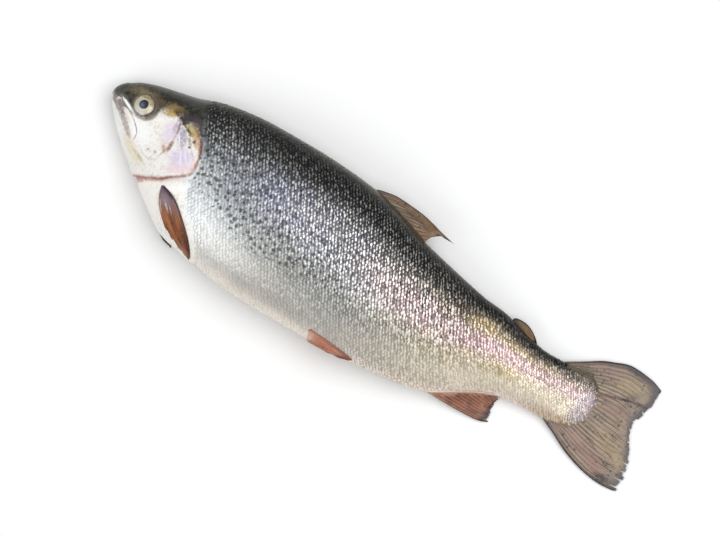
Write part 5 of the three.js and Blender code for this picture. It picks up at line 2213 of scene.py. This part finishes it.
@dataclass
class Studio:
    """A pale floor, soft overhead light and a camera that looks straight down."""

    where: Placement
    frame_width: float = 509.4
    look_x: float = 213.1
    look_y: float = -5.4
    level: float = 18.0
    distance: float = 2500.0
    roll: float = 33.0
    floor_reach: float = 6.0
    floor_colours: tuple[str, str] = ("f7f7f7", "f9f9f8")
    floor_roughness: float = 0.5
    sky: str = "f4f6f8"
    sky_strength: float = 0.36
    lamps: tuple[tuple[str, tuple[float, float, float], float, float], ...] = (
        ("overhead", (0.3, 0.5, 1.9), 2.2, 33.0),
        ("side", (-0.9, -1.3, 1.6), 1.6, 11.0),
    )
    sensor_width: float = 36.0
    clip_end: float = 100.0

    def build(self) -> None:
        """Makes the floor, the lights, the world and the camera."""
        self._floor()
        self._lights()
        self._camera()

    def _floor(self) -> None:
        """Makes the floor."""
        bm = bmesh.new()
        bmesh.ops.create_grid(bm, x_segments=2, y_segments=2, size=self.floor_reach)
        mesh = bpy.data.meshes.new("floor")
        bm.to_mesh(mesh)
        bm.free()
        floor = show("floor", mesh)
        material, graph, shader = new_material("pale_floor", {"Roughness": self.floor_roughness})
        cloud = graph.noise(graph.place(), 3.0, 2.0)
        graph.feed(shader.inputs["Base Color"], graph.mix(cloud, *self.floor_colours))
        mesh.materials.append(material)

    def _lights(self) -> None:
        """Makes one broad soft light overhead, a weaker one on the belly's side and an even sky."""
        for name, place, size, power in self.lamps:
            light = bpy.data.lights.new(name, "AREA")
            light.shape = "DISK"
            light.size = size
            light.energy = power
            lamp = show(name, light)
            lamp.location = place
            lamp.rotation_euler = (-Vector(place)).to_track_quat("-Z", "Y").to_euler()
        world = bpy.data.worlds.new("studio")
        world.use_nodes = True
        background = next(n for n in world.node_tree.nodes if n.type == "BACKGROUND")
        background.inputs["Color"].default_value = shade(self.sky)
        background.inputs["Strength"].default_value = self.sky_strength
        bpy.context.scene.world = world
        bpy.context.scene.view_settings.view_transform = "Standard"

    def _camera(self) -> None:
        """Stands the camera over the fish."""
        data = bpy.data.cameras.new("camera")
        data.sensor_width = self.sensor_width
        data.lens = data.sensor_width * self.distance / self.frame_width
        data.clip_end = self.clip_end
        camera = show("camera", data)
        camera.location = self.where.metres(np.array([self.look_x, self.look_y, self.level + self.distance]))
        camera.rotation_euler = (0.0, 0.0, math.radians(self.roll))
        bpy.context.scene.camera = camera


def main() -> None:
    """Builds the trout round the loaded frame."""
    logging.basicConfig(level=logging.INFO, format="%(name)s: %(message)s")
    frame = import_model()
    LOG.info("frame: %d nodes", len(frame["nodes"]))
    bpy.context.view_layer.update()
    form = BodyForm()
    marks = Landmarks()
    where = Placement.from_eye(*marks.eye)
    body = BodyMarkings()
    markings = body.build()
    Skin(form, where, marks).build(SkinFinish(body, HeadMarkings()).build(markings, where))
    ScaleCoat(form, where, marks).build(ScaleFinish().build(markings))
    eye_finish = EyeFinish()
    Eye(form, where).build(eye_finish.ball(where), eye_finish.cornea())
    fin_finish = FinFinish()
    fin_group = fin_finish.group()
    for fin in trout_fins():
        fin.build(form, where, fin_finish.build(fin, fin_group, where))
    Studio(where).build()


if __name__ == "__main__":
    main()
